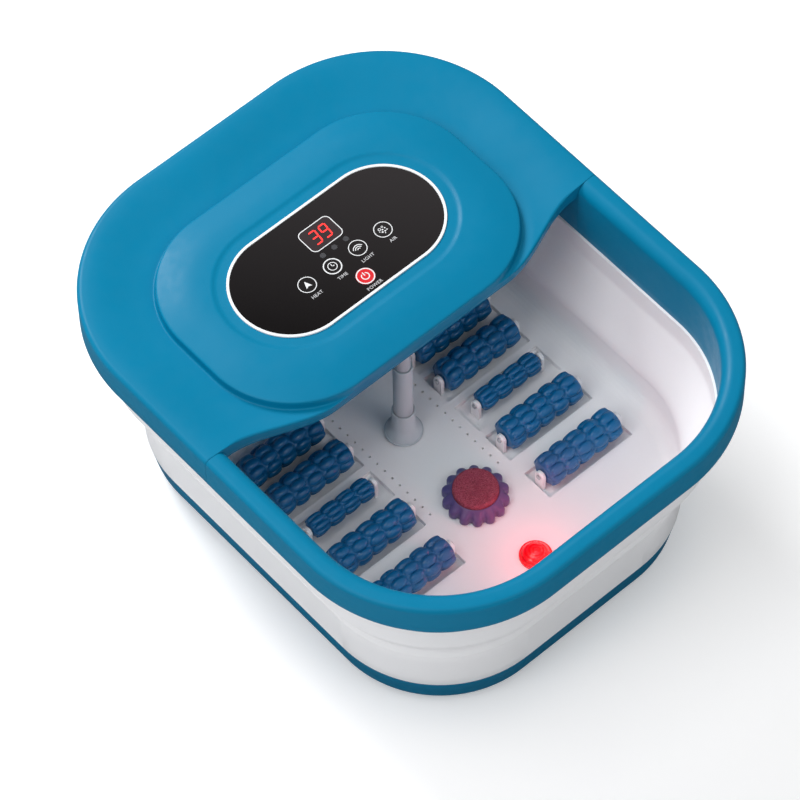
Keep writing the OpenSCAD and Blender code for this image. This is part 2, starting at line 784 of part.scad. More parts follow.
module display_window() color(window_brown)
  translate([0, display_y, panel_z - 1.6]) linear_extrude(1.7)
    rounded_rect(window_hw, window_hl, window_r);

module display_module() color(black)
  translate([0, display_y, board_z + 1.8])
    linear_extrude(panel_z - panel_t - board_z - 1.8) square([24, 16], center = true);

module control_board() color(board_green)
  difference() {
    translate([0, panel_y, board_z]) linear_extrude(board_t) square([134, 66], center = true);
    at_all(control_board_spots) raise(board_z - 2) cylinder(r = 1.6, h = 6);
  }

module tact_switches() color(black)
  at_all(key_spots) raise(board_top_z) {
    raise(1.3) cube([6, 6, 2.6], center = true);
    cylinder(r = 1.7, h = key_z - key_travel - gap - board_top_z);
  }

module indicator_leds() color(led_grey)
  at_all(led_spots) raise(board_top_z) cylinder(r = led_r, h = panel_z - board_top_z);

module key_cap(i, paint) color(paint)
  translate(key_spots[i]) {
    raise(key_z) cylinder(r = 8, h = 1.6);
    raise(panel_z - 3) cylinder(r = key_d / 2, h = 3.1);
  }
module key_temp() key_cap(0, black);
module key_timer() key_cap(1, black);
module key_light() key_cap(2, black);
module key_bubble() key_cap(3, black);
module key_power() key_cap(4, red);

// ---------- rollers and massage head ----------

lobe_r = 2.6; // rounded tips of the roller rings

// Roller on one side (-1 left, 1 right): a core with lobed rings, alternately turned
module roller(side, row) color(deep_blue)
  let (
    tip_r = row == slim_row ? slim_r : roller_r,
    span = roller_span(row),
    rings = row == slim_row ? 4 : 5,
    pitch = span / rings
  )
  translate([side * roller_x, rows[row], axle_z]) rotate([0, 90, 0]) difference() {
    union() {
      cylinder(r = tip_r - 3.6, h = span, center = true);
      for (k = [0:rings - 1])
        raise((k - (rings - 1) / 2) * pitch) linear_extrude(pitch * 0.62, center = true) {
          circle(r = tip_r - 2.4);
          for (a = [0:7])
            rotate(a * 45 + (k % 2) * 22.5) translate([tip_r - lobe_r, 0]) circle(r = lobe_r);
        }
    }
    cylinder(r = axle_r + run_gap, h = span + 2, center = true);
  }
module roller_l1() roller(-1, 0);
module roller_l2() roller(-1, 1);
module roller_l3() roller(-1, 2);
module roller_l4() roller(-1, 3);
module roller_l5() roller(-1, 4);
module roller_r1() roller(1, 0);
module roller_r2() roller(1, 1);
module roller_r3() roller(1, 2);
module roller_r4() roller(1, 3);
module roller_r5() roller(1, 4);

head_z = floor_z + 0.3; // underside of the massage head
scallop_r = 3.6;
scallops = 14;

module head_base() color(deep_blue)
  translate(head_at) raise(head_z) difference() {
    union() {
      linear_extrude(8) {
        circle(r = head_r - 3.4);
        for (a = [0:scallops - 1])
          rotate(a * 360 / scallops) translate([head_r - scallop_r, 0]) circle(r = scallop_r);
      }
      raise(7.9) cylinder(r1 = head_r - scallop_r, r2 = 17.6, h = 4);
    }
    raise(-1) cylinder(r = 6.06, h = 12); // socket over the floor spigot
    raise(10.9) cylinder(r = 16.6, h = 6); // seat of the pumice pad
  }

module pumice_pad() color(pumice_red)
  translate(head_at) raise(head_z) {
    raise(11) cylinder(r = 16.5, h = 4);
    raise(14.9) cylinder(r1 = 16.4, r2 = 14.6, h = 1.6);
  }

bottom_shell();
lower_tub();
wall_membrane();
rubber_feet();
base_screws();
heater_plate();
heating_element();
thermal_cutout();
temp_sensor();
air_pump();
pump_mounts();
air_hose();
air_manifold();
power_board();
board_components();
board_screws();
red_lens();
led_board();
roller_axles();
conduit_lower();
conduit_seal();
lead_wires();
strain_relief();
power_cord();
cord_tie();
mains_plug();
plug_pins();
rim_frame();
upper_wall();
rear_cover();
cover_underside();
cover_seal();
cover_screws();
panel_bezel();
control_panel();
display_window();
display_module();
control_board();
tact_switches();
indicator_leds();
conduit_upper();
conduit_middle();
key_temp();
key_timer();
key_light();
key_bubble();
key_power();
roller_l1();
roller_l2();
roller_l3();
roller_l4();
roller_l5();
roller_r1();
roller_r2();
roller_r3();
roller_r4();
roller_r5();
head_base();
pumice_pad();
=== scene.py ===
"""A foot spa: tub, folding wall, blue rim, rear cover with control panel, massage parts and cord.

X runs across the tub, Y along it with the controls at the rear (+Y), and Z up from the floor.
Shapes are worked out in mm and stored in metres; materials, lights and camera are in metres.
"""
import json
import math
import bpy
import bmesh
import numpy as np
from mathutils import Vector, Matrix


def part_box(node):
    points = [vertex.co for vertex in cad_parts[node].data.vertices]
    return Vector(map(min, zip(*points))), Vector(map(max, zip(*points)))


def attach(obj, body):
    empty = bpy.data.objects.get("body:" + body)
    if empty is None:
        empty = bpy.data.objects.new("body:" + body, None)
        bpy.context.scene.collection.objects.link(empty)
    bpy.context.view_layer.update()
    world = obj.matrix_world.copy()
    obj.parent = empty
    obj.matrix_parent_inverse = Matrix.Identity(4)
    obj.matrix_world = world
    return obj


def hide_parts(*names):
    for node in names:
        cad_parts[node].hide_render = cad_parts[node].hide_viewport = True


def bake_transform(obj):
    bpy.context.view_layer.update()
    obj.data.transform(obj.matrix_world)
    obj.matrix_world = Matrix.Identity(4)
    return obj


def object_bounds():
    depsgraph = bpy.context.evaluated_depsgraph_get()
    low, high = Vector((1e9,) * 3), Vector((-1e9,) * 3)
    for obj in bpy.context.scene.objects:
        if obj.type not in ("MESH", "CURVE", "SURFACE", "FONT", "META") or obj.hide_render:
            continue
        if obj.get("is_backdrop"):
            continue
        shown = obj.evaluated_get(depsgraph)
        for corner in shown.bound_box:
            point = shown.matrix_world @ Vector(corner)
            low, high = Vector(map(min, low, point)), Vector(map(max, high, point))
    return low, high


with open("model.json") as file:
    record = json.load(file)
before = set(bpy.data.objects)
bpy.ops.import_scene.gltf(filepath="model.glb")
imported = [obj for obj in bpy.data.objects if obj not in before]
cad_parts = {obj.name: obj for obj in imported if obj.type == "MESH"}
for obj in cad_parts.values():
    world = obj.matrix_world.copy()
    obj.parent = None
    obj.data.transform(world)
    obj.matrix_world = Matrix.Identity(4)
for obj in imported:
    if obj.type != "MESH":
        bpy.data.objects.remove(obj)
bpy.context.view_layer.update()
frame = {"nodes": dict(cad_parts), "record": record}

NODES = frame["nodes"]
MM = 0.001


def box(node):
    """Low corner, high corner and centre of a CAD piece's box, in metres."""
    low, high = (np.array(corner, float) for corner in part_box(node))
    return low, high, (low + high) / 2


def box_mm(node):
    return tuple(1000 * point for point in box(node))


# ------------------------------------------------------------------ driving sizes, in mm
HALF_WIDTH, HALF_LENGTH, CORNER_R = 178.0, 215.0, 116.0     # rim outline
CORNER_X = HALF_WIDTH - CORNER_R                            # centres of the rim corners
CORNER_Y = HALF_LENGTH - CORNER_R
TUB_STEP = 8                 # lower tub corner centres lie this much further in, in X and Y
RIM_TOP = box_mm("rim_frame")[1][2]
SKIRT_BOTTOM = RIM_TOP - 26
PANEL_TOP = box_mm("control_panel")[1][2]
SEAM_Y = 5.0                 # seam between front rim and rear cover, at the sides
SHELL_WALL = 2.5

# sign of X, sign of Y and start angle of each rounded-rectangle corner
CORNERS = ((1, 1, 0), (-1, 1, 90), (-1, -1, 180), (1, -1, 270))


# ------------------------------------------------------------------ mesh helpers
def smooth(t):
    t = np.clip(t, 0.0, 1.0)
    return t * t * (3 - 2 * t)


def link(ob):
    bpy.context.scene.collection.objects.link(ob)
    return ob


def add_mesh(name, verts, faces, material, sharp=None, merge=0.0):
    """A mesh object from points in mm; flat shaded unless a sharp angle is given."""
    mesh = bpy.data.meshes.new(name)
    mesh.from_pydata((np.asarray(verts, float) * MM).tolist(), [], faces)
    bm = bmesh.new()
    bm.from_mesh(mesh)
    if merge:
        bmesh.ops.remove_doubles(bm, verts=bm.verts, dist=merge * MM)
        bmesh.ops.dissolve_degenerate(bm, edges=bm.edges, dist=merge * 0.0005)
    bmesh.ops.recalc_face_normals(bm, faces=bm.faces)
    bm.to_mesh(mesh)
    bm.free()
    mesh.update()
    if sharp is not None:
        mesh.shade_smooth()
        mesh.set_sharp_from_angle(angle=math.radians(sharp))
    mesh.materials.append(MATERIAL[material])
    return link(bpy.data.objects.new(name, mesh))


def assign(ob, body, slot, *replaced):
    """Attach a piece to its body and hide the CAD nodes it replaces."""
    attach(ob, body)
    if replaced:
        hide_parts(*replaced)


def loft(rings, open_rings=False, open_run=False):
    """Quads between successive rings; open rings also get a face at each end of the section."""
    rings = np.asarray(rings, float)
    rows, count = rings.shape[:2]
    faces = []
    for row in range(rows - 1 if open_run else rows):
        a, b = row * count, ((row + 1) % rows) * count
        for i in range(count - 1 if open_rings else count):
            j = (i + 1) % count
            faces.append((a + i, a + j, b + j, b + i))
    if open_rings:
        faces.append(tuple(row * count for row in range(rows)))
        faces.append(tuple(row * count + count - 1 for row in reversed(range(rows))))
    return rings.reshape(-1, 3), faces


def full_turn(count):
    return np.linspace(0, 2 * math.pi, count, endpoint=False)


def revolve(profile, count, shape=None):
    """Rings of (radius, z) points round Z; shape(angles, radius) may vary the radius."""
    angles = full_turn(count)
    rings = []
    for radius, z in profile:
        radii = shape(angles, radius) if shape else np.full(count, float(radius))
        rings.append(np.stack([radii * np.cos(angles), radii * np.sin(angles),
                               np.full(count, float(z))], 1))
    return rings


def arc(cx, cy, radius, start, end, steps):
    """Points of an arc, both ends included; angles in degrees."""
    angles = [math.radians(start + (end - start) * i / steps) for i in range(steps + 1)]
    return [(cx + radius * math.cos(a), cy + radius * math.sin(a)) for a in angles]


# ------------------------------------------------------------------ material helpers
def linear(rgb):
    """Linear RGBA from 0-255 sRGB."""
    channels = [c / 255.0 for c in rgb]
    return (*(c / 12.92 if c <= 0.04045 else ((c + 0.055) / 1.055) ** 2.4 for c in channels), 1.0)


def brighten(color, factor):
    return (*(min(1, c * factor) for c in color[:3]), 1.0)


class Surface:
    """A material under construction: a Principled shader and the nodes that feed it."""

    def __init__(self, name):
        self.material = bpy.data.materials.new(name)
        self.material.use_nodes = True
        self.tree = self.material.node_tree
        self.tree.nodes.clear()
        output = self.node("OutputMaterial")
        self.shader = self.node("BsdfPrincipled")
        self.tree.links.new(self.shader.outputs[0], output.inputs[0])
        self.coords = self.node("TexCoord").outputs["Object"]

    def feed(self, node, inputs):
        """Link each input given as a socket, and set each given as a value."""
        for key, value in inputs.items():
            if isinstance(value, bpy.types.NodeSocket):
                self.tree.links.new(value, node.inputs[key])
            else:
                node.inputs[key].default_value = value

    def node(self, kind, inputs=None, **settings):
        node = self.tree.nodes.new("ShaderNode" + kind)
        for key, value in settings.items():
            setattr(node, key, value)
        self.feed(node, inputs or {})
        return node

    def noise(self, scale, detail=2.0, rough=0.5, stretch=None):
        vector = self.coords
        if stretch:
            vector = self.node("Mapping", {0: vector, "Scale": stretch}).outputs[0]
        return self.node("TexNoise", {"Scale": scale, "Detail": detail, "Roughness": rough,
                                      "Vector": vector}).outputs[0]

    def remap(self, source, to=(0, 1), span=(0.3, 0.7), interpolation="LINEAR"):
        """Carry the source values in span over to the range in to."""
        return self.node("MapRange", {"From Min": span[0], "From Max": span[1],
                                      "To Min": to[0], "To Max": to[1], "Value": source},
                         interpolation_type=interpolation).outputs[0]

    def mix(self, factor, first, second):
        # on a Mix node, inputs 6 and 7 and output 2 are the colour sockets
        return self.node("Mix", {0: factor, 6: first, 7: second}, data_type="RGBA").outputs[2]

    def bump(self, height, strength, distance, under=None):
        inputs = {"Strength": strength, "Distance": distance, "Height": height}
        if under:
            inputs["Normal"] = under
        return self.node("Bump", inputs).outputs[0]

    def finish(self, inputs):
        self.feed(self.shader, inputs)
        return self.material


# ------------------------------------------------------------------ material kinds
GLOW_CENTRE = (0.0, -0.1305, 0.055)      # middle of the red lamp light painted onto nearby plastic, metres


def plastic(name, rgb, rough=0.38, specular=0.35, grain=2600.0, grain_depth=0.00002,
            variation=0.06, coat=0.0, subsurface=0.0, glow=None):
    """Moulded plastic: fine grain, slow colour and gloss drift, faint ripple.

    glow: reach in metres, tint and amount of the red lamp's light, painted into the base colour
    round the lamp.
    """
    s = Surface(name)
    base = linear(rgb)
    drift = s.remap(s.noise(scale=14.0, detail=3.0, rough=0.55), span=(0.25, 0.75))
    color = s.mix(drift, brighten(base, 1 - variation), brighten(base, 1 + variation))
    speck = s.remap(s.noise(scale=grain * 0.35, detail=1.0), to=(0.0, 0.10), span=(0.35, 0.75))
    color = s.mix(speck, color, brighten(base, 1.18))
    # painted light: red lamp light painted into the base colour, fading with distance from the
    # lamp
    if glow:
        distance = s.node("VectorMath", {0: s.coords, 1: GLOW_CENTRE}, operation="DISTANCE")
        painted_glow_share = s.remap(distance.outputs["Value"], to=(glow["amount"], 0.0),
                       span=(0.0, glow["reach"]), interpolation="SMOOTHSTEP")
        color = s.mix(painted_glow_share, color, linear(glow["tint"]))
    gloss = s.remap(s.noise(scale=90.0, detail=3.0, rough=0.6), to=(rough - 0.05, rough + 0.07))
    normal = s.bump(s.noise(scale=grain, rough=0.6), strength=0.35, distance=grain_depth)
    normal = s.bump(s.noise(scale=35.0, detail=1.0, rough=0.4), strength=0.25,
                    distance=0.00012, under=normal)
    inputs = {"Base Color": color, "Roughness": gloss, "Specular IOR Level": specular,
              "Normal": normal}
    if coat:
        inputs.update({"Coat Weight": coat, "Coat Roughness": 0.12})
    if subsurface:
        inputs.update({"Subsurface Weight": subsurface, "Subsurface Scale": 0.6,
                       "Subsurface Radius": (0.004, 0.003, 0.003)})
    return s.finish(inputs)


def metal(name, rgb, rough, brushed):
    """Brushed metal; brushed stretches the brush noise along X, Y and Z."""
    s = Surface(name)
    base = linear(rgb)
    brush = s.noise(scale=400.0, detail=3.0, rough=0.6, stretch=brushed)
    return s.finish({
        "Metallic": 1.0,
        "Base Color": s.mix(s.remap(brush), brighten(base, 0.85), base),
        "Roughness": s.remap(brush, to=(rough - 0.08, rough + 0.12)),
        "Normal": s.bump(brush, strength=0.3, distance=0.00003)})


def gloss_panel(name, rgb, rough=0.16, painted_reflection_rgb=(44, 41, 42)):
    """Dark gloss film with a trace of dust and orange peel; a painted reflection lightens it
    towards the right rear.
    """
    s = Surface(name)
    dust = s.noise(scale=5200.0, detail=1.0)
    # painted reflection: the base colour lightens towards the right rear
    across = s.node("VectorMath", {0: s.coords, 1: (0.77, 0.64, 0.0)}, operation="DOT_PRODUCT")
    painted_reflection_mask = s.remap(across.outputs["Value"], span=(-0.02, 0.115))
    color = s.mix(painted_reflection_mask, linear(rgb), linear(painted_reflection_rgb))
    color = s.mix(s.remap(dust, to=(0.0, 0.12), span=(0.66, 0.86)), color,
                  linear((120, 118, 118)))
    smear = s.noise(scale=60.0, detail=3.0, rough=0.6)
    peel = s.noise(scale=320.0, detail=1.0)
    return s.finish({
        "Base Color": color,
        "Roughness": s.remap(smear, to=(rough * 0.95, rough * 1.1)),
        "Normal": s.bump(peel, strength=0.12, distance=0.00004),
        "Specular IOR Level": 0.2})


def ink(name, rgb, emission=0.0):
    """Printed ink or a lit segment, with slight density change."""
    s = Surface(name)
    base = linear(rgb)
    density = s.noise(scale=1800.0, rough=0.6)
    color = s.mix(s.remap(density), brighten(base, 0.88), base)
    inputs = {"Base Color": color, "Roughness": s.remap(density, to=(0.32, 0.5))}
    if emission:
        inputs.update({"Emission Color": color, "Emission Strength": emission})
    return s.finish(inputs)


def lens_red(name):
    """Glowing red lens with rings round its own axis and a faint cell pattern."""
    s = Surface(name)
    centre = box("red_lens")[2]
    centred = s.node("Mapping", {"Location": (-centre[0], -centre[1], 0), 0: s.coords})
    rings = s.node("TexWave", {"Scale": 130.0, "Distortion": 0.6, "Vector": centred.outputs[0]},
                   wave_type="RINGS", rings_direction="Z").outputs[1]
    cells = s.node("TexVoronoi", {"Scale": 420.0, "Vector": s.coords}).outputs[0]
    color = s.mix(s.remap(rings, span=(0.2, 0.8)), linear((196, 4, 14)), linear((236, 18, 30)))
    normal = s.bump(rings, strength=0.35, distance=0.0004)
    return s.finish({
        "Base Color": color, "Roughness": 0.12, "Specular IOR Level": 0.6,
        "Subsurface Weight": 0.25, "Subsurface Radius": (0.01, 0.001, 0.001),
        "Emission Color": color, "Emission Strength": 0.55,
        "Normal": s.bump(cells, strength=0.2, distance=0.0004, under=normal)})


def pumice(name):
    """Rough reddish stone with open pores."""
    s = Surface(name)
    pores = s.node("TexVoronoi", {"Scale": 900.0, "Vector": s.coords}).outputs[0]
    grit = s.noise(scale=1400.0, detail=4.0, rough=0.7)
    patches = s.noise(scale=260.0, detail=3.0, rough=0.6)
    color = s.mix(s.remap(grit, span=(0.35, 0.65)), linear((112, 40, 58)), linear((186, 92, 110)))
    color = s.mix(s.remap(patches, to=(0, 0.7), span=(0.4, 0.7)), color, linear((142, 56, 78)))
    normal = s.bump(pores, strength=0.9, distance=0.0006)
    return s.finish({
        "Base Color": color, "Roughness": 0.92, "Specular IOR Level": 0.2,
        "Normal": s.bump(grit, strength=0.7, distance=0.0003, under=normal)})


def studio_floor(name):
    """Pale floor, a little brighter to the camera and darker in reflections."""
    s = Surface(name)
    cloud = s.remap(s.noise(scale=3.0))
    emission = s.mix(cloud, linear((246, 246, 247)), linear((248, 248, 248)))
    rays = s.node("LightPath").outputs
    strength = s.remap(rays["Is Camera Ray"], to=(0.0, 0.26), span=(0.0, 1.0))
    color = s.mix(rays["Is Camera Ray"], linear((240, 240, 242)), emission)
    color = s.mix(rays["Is Glossy Ray"], color, linear((96, 98, 100)))
    return s.finish({
        "Emission Color": emission, "Emission Strength": strength, "Base Color": color,
        "Roughness": 0.75, "Specular IOR Level": 0.1})


# ------------------------------------------------------------------ material table
KINDS = {
    plastic: {
        "shell_blue": dict(rgb=(0, 122, 161), specular=0.14, variation=0.03),
        # base_blue is a darker copy of shell_blue: painted shade for the base band
        "base_blue": dict(rgb=(0, 106, 143), rough=0.42, specular=0.14, variation=0.05),
        "wall_white": dict(rgb=(246, 247, 249), rough=0.36, specular=0.4, grain=1800,
                           variation=0.012),
        "membrane_white": dict(rgb=(246, 247, 249), rough=0.5, specular=0.3, grain=1300,
                               grain_depth=0.00003, variation=0.014),
        "rubber_black": dict(rgb=(26, 26, 28), rough=0.72, specular=0.25, grain=1500,
                             grain_depth=0.00006, variation=0.15),
        "ceramic": dict(rgb=(214, 196, 152), rough=0.6, specular=0.3, grain=900,
                        grain_depth=0.00006, variation=0.1),
        "black_plastic": dict(rgb=(30, 30, 32), rough=0.48, variation=0.1),
        "clear_rubber": dict(rgb=(214, 218, 218), rough=0.35, specular=0.4, subsurface=0.3,
                             variation=0.03),
        "light_grey": dict(rgb=(190, 200, 206), rough=0.4, variation=0.04),
        "board_green": dict(rgb=(18, 84, 48), rough=0.34, specular=0.4, grain=700,
                            variation=0.22),
        "wire_red": dict(rgb=(190, 26, 24), rough=0.4, variation=0.08),
        "cord_white": dict(rgb=(228, 228, 226), rough=0.5, specular=0.3, grain=1500,
                           variation=0.03),
        "trim_white": dict(rgb=(240, 244, 247), rough=0.25, specular=0.5, variation=0.01,
                           coat=0.3),
        "led_grey": dict(rgb=(66, 66, 70), rough=0.3, specular=0.4, variation=0.08,
                         subsurface=0.2),
        "key_red": dict(rgb=(214, 26, 38), rough=0.28, specular=0.4, variation=0.04, coat=0.2),
        # glow: painted red lamp light on the rollers and head near the lens
        "roller_blue": dict(rgb=(8, 98, 150), rough=0.3, variation=0.10, coat=0.2,
                            glow=dict(reach=0.105, tint=(112, 62, 112), amount=0.55)),
        "head_blue": dict(rgb=(14, 84, 138), rough=0.34, specular=0.3, variation=0.08,
                          glow=dict(reach=0.14, tint=(140, 62, 104), amount=0.75)),
    },
    metal: {
        "steel": dict(rgb=(200, 202, 206), rough=0.28, brushed=(1, 40, 40)),
        "aluminium": dict(rgb=(205, 207, 210), rough=0.42, brushed=(40, 1, 1)),
    },
    # the second colour of each gloss film is its painted reflection at the right rear
    gloss_panel: {
        "panel_black": dict(rgb=(13, 10, 11)),
        "window_grey": dict(rgb=(50, 42, 44), painted_reflection_rgb=(62, 54, 56)),
        "key_black": dict(rgb=(20, 17, 18), rough=0.2),
    },
    ink: {
        "ink_white": dict(rgb=(240, 242, 244)),
        "ink_grey": dict(rgb=(205, 205, 208)),
        "digit_red": dict(rgb=(255, 40, 36), emission=1.6),
    },
    lens_red: {"lens_red": {}},
    pumice: {"pumice": {}},
}
MATERIAL = {name: kind(name, **look) for kind, looks in KINDS.items()
            for name, look in looks.items()}

# ------------------------------------------------------------------ CAD pieces that stay
BLACK_KEYS = ("key_temp", "key_timer", "key_light", "key_bubble")
# edge rounding in mm
ROUNDING = {
    "bottom_shell": 0.4, "lower_tub": 0.5, "panel_bezel": 0.22, "control_panel": 0.12,
    "display_window": 0.12, "mains_plug": 0.8, "rubber_feet": 0.4, "air_pump": 0.8,
    "strain_relief": 0.3, "conduit_lower": 0.3, "conduit_middle": 0.25, "conduit_upper": 0.25,
    "key_temp": 0.18, "key_timer": 0.18, "key_light": 0.18, "key_bubble": 0.18,
    "key_power": 0.18, "cover_underside": 0.5, "cord_tie": 0.2,
}


def dress_cad_pieces():
    """Give each CAD piece its finish, close the seams between its faces and round its edges."""
    slot_of = {part["node"]: part["material_slot"] for part in frame["record"]["subparts"]}
    for node, ob in NODES.items():
        material = MATERIAL["key_black" if node in BLACK_KEYS else slot_of[node]]
        if not ob.material_slots:
            ob.data.materials.append(material)
        for slot in ob.material_slots:
            slot.material = material
        weld = ob.modifiers.new("weld", "WELD")
        weld.merge_threshold = 0.000002
        if node in ROUNDING:
            bevel = ob.modifiers.new("round", "BEVEL")
            bevel.width = ROUNDING[node] * MM
            bevel.segments = 2
            bevel.limit_method = "ANGLE"
            bevel.angle_limit = math.radians(42)
            bevel.harden_normals = True
            bevel.use_clamp_overlap = True


dress_cad_pieces()


# ------------------------------------------------------------------ folding wall
# profile columns: inset from the rim outline, z, and share of the way from the
# rim's corner centres (0) to the lower tub's (1)
WALL_OUTER_FOLD = [
    (34.5, 75.06, 1), (32.15, 75.06, 1), (32.05, 75.3, 1), (32.35, 75.75, 1), (33.2, 76.5, 1),
    (34.15, 77.5, 1), (34.95, 78.8, 0.98), (35.35, 80.4, 0.95), (35.25, 82.1, 0.92),
    (34.6, 84.0, 0.88), (33.5, 86.2, 0.83)]
WALL_TOP = [
    (16.05, 121.4, 0), (15.7, 122.6, 0), (15.55, 124.0, 0), (15.5, 128, 0), (15.5, 134, 0),
    (15.5, 140, 0), (15.5, 143.3, 0), (15.8, 143.35, 0), (16.9, 141.95, 0), (17.4, 141.85, 0),
    (18.2, 141.85, 0), (18.5, 141.6, 0), (18.5, 134, 0), (18.5, 126, 0), (18.6, 123.6, 0),
    (19.0, 121.9, 0), (19.6, 120.4, 0)]
WALL_INNER_FOLD = [
    (35.9, 86.9, 0.86), (36.7, 84.8, 0.89), (37.2, 82.3, 0.93), (37.3, 80.0, 0.96),
    (36.9, 78.0, 0.98), (36.1, 76.6, 1), (35.2, 75.7, 1), (34.6, 75.2, 1)]


def ring_template(corner_steps=40, side_steps=10):
    """Counter-clockwise rounded rectangle: corner-centre factors x, y and outward normal x, y."""
    points = []
    for k, (sx, sy, start) in enumerate(CORNERS):
        for i in range(corner_steps + 1):
            a = math.radians(start + 90.0 * i / corner_steps)
            points.append((sx, sy, math.cos(a), math.sin(a)))
        next_x, next_y, _ = CORNERS[(k + 1) % 4]
        a = math.radians(start + 90)
        for i in range(1, side_steps):
            t = i / side_steps
            points.append((sx + (next_x - sx) * t, sy + (next_y - sy) * t,
                           math.cos(a), math.sin(a)))
    return np.array(points)


def bowed_run(start, end, steps=15, bow=0.9):
    """Profile points between start and end, bowed outwards; the ends are left out."""
    points = []
    for i in range(1, steps):
        t = i / steps
        inset, z, share = (a + (b - a) * t for a, b in zip(start, end))
        points.append((inset - bow * math.sin(math.pi * t), z, share))
    return points


def folding_wall():
    """Soft fold and the band above it, as one closed skin."""
    profile = (WALL_OUTER_FOLD + bowed_run(WALL_OUTER_FOLD[-1], (16.2, 120.6, 0))
               + WALL_TOP + bowed_run(WALL_TOP[-1], (35.2, 88.6, 0.83)) + WALL_INNER_FOLD)
    sx, sy, nx, ny = ring_template().T
    rings = []
    for inset, z, share in profile:
        step = TUB_STEP * share
        radius = CORNER_R + step - inset
        rings.append(np.stack([sx * (CORNER_X - step) + nx * radius,
                               sy * (CORNER_Y - step) + ny * radius,
                               np.full(len(sx), float(z))], 1))
    ob = add_mesh("folding_wall", *loft(rings), "membrane_white", sharp=50)
    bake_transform(ob)
    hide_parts("wall_membrane", "upper_wall")


folding_wall()

# ------------------------------------------------------------------ rim
# profile columns: inset from the rim outline, z
COLLAR_OUTER, COLLAR_INNER = 14.5, 17        # insets of the collar's two faces
COLLAR_FOOT = [(COLLAR_INNER, 142.7), (16.85, 142.15), (16.5, 142.1), (16.1, 142.5),
               (14.8, 144.5)]
COLLAR_CORNER = (COLLAR_OUTER, 145.3)


def rim_path(side, y_cut):
    """Open run from the right cut to the left one, by the front (side -1) or rear (side 1).

    Columns: corner centre x, y and outward normal x, y.
    """
    end_y = side * CORNER_Y
    points = [(CORNER_X, y_cut + (end_y - y_cut) * i / 12, 1, 0) for i in range(13)]
    points += [(CORNER_X, end_y, nx, side * ny) for nx, ny in arc(0, 0, 1, 0, 90, 40)[1:]]
    points += [(CORNER_X - 2 * CORNER_X * i / 10, end_y, 0, side) for i in range(1, 11)]
    points += [(-CORNER_X, end_y, nx, side * ny) for nx, ny in arc(0, 0, 1, 90, 180, 40)[1:]]
    points += [(-CORNER_X, end_y + (y_cut - end_y) * i / 12, -1, 0) for i in range(1, 13)]
    return np.array(points, float)


def front_rim_profile():
    """Hanging outer skirt, rounded top and inner collar."""
    top, foot = RIM_TOP, SKIRT_BOTTOM
    return [
        (0.5, foot), (0.12, foot + 0.15), (0.0, foot + 0.6), (0.0, foot + 8),
        (0.0, foot + 16), (0.0, top - 4.2),
        *arc(3.6, top - 3.6, 3.6, 176, 100, 8),
        (4.4, top), (6.2, top), (8, top),
        *arc(8, top - 9, 9, 84, 0, 12),
        (COLLAR_INNER, top - 16), (COLLAR_INNER, top - 30), (COLLAR_INNER, 150),
        *COLLAR_FOOT, COLLAR_CORNER, (COLLAR_OUTER, 160), (COLLAR_OUTER, top - 11),
        *arc(8, top - 9, 9 - SHELL_WALL, 0, 90, 8),
        (5.2, top - 2.5), (3.6, top - 3.1), (2.7, top - 4.2), (2.5, top - 6),
        (2.5, foot + 8), (2.5, foot + 0.6), (2.38, foot + 0.15), (2.0, foot)]


def rim_shell():
    """Front rim, and the plain collar that carries on under the rear cover."""
    collar_top = RIM_TOP - 9.1
    collar = [COLLAR_CORNER, (COLLAR_OUTER, 165), (COLLAR_OUTER, collar_top),
              (COLLAR_INNER, collar_top), (COLLAR_INNER, 165), *COLLAR_FOOT]
    verts, faces = np.empty((0, 3)), []
    for side, y_cut, profile in ((-1, SEAM_Y - 0.15, front_rim_profile()),
                                 (1, SEAM_Y - 0.05, collar)):
        cx, cy, nx, ny = rim_path(side, y_cut).T
        rings = [np.stack([cx + nx * (CORNER_R - inset), cy + ny * (CORNER_R - inset),
                           np.full(len(cx), float(z))], 1) for inset, z in profile]
        run_verts, run_faces = loft(rings, open_rings=True)
        faces += [tuple(i + len(verts) for i in face) for face in run_faces]
        verts = np.vstack([verts, run_verts])
    ob = add_mesh("rim_shell", verts, faces, "shell_blue", sharp=45)
    assign(ob, "rim", "shell_blue", "rim_frame")


rim_shell()

# ------------------------------------------------------------------ rear cover
RAY_Y = 71.0                 # the cover's grid fans out from (0, RAY_Y)
COVER_GAP = 0.12             # gap left behind the seam
OUTER_ROUND = 3.6            # rounding of the outer top edge
# columns: distance outside the island outline, z above the rim top
ISLAND_PROFILE = np.array([
    (-40, 4.3), (-28, 4.2), (-20, 3.6), (-14, 2.65), (-10, 1.85), (-7, 1.2), (-4.5, 0.65),
    (-3, 0.3), (-2, 0.05), (-1.3, -0.2), (-0.8, -0.5), (-0.4, -1.15), (0, -4.0), (0.3, -5.5),
    (0.7, -6.15), (1.3, -6.4), (3, -6.25), (6, -5.9), (9, -5.5)])
# grid levels: distances from the panel outline, then the island outline, then out
# from the island and in from the cover's edge
PANEL_LEVELS = (0.12, 1.2, 2.6, 4.2, 6.0, 7.6, 8.8, 9.8, 10.8, 11.8, 12.8, 14.0)
ISLAND_LEVELS = (-12, -10, -8.5, -7, -5.6, -4.5, -3.6, -2.8, -2.1, -1.55, -1.1, -0.75, -0.45,
                 -0.2, 0.0)
VALLEY_LEVELS = (0.2, 0.45, 0.8, 1.3, 2.0, 3.0, 4.5, 6.5, 9.2, 12.5)
EDGE_LEVELS = (22.0, 18.5, 15.5, 12.8, 10.4, 8.4, 6.8, 5.4, 4.2, 3.2, 2.3, 1.5, 0.9, 0.45,
               0.15, 0.0)
FULL_GAP = 54.0              # below this gap, valley and edge levels close up in proportion
BETWEEN = (0.2, 0.4, 0.6, 0.8)


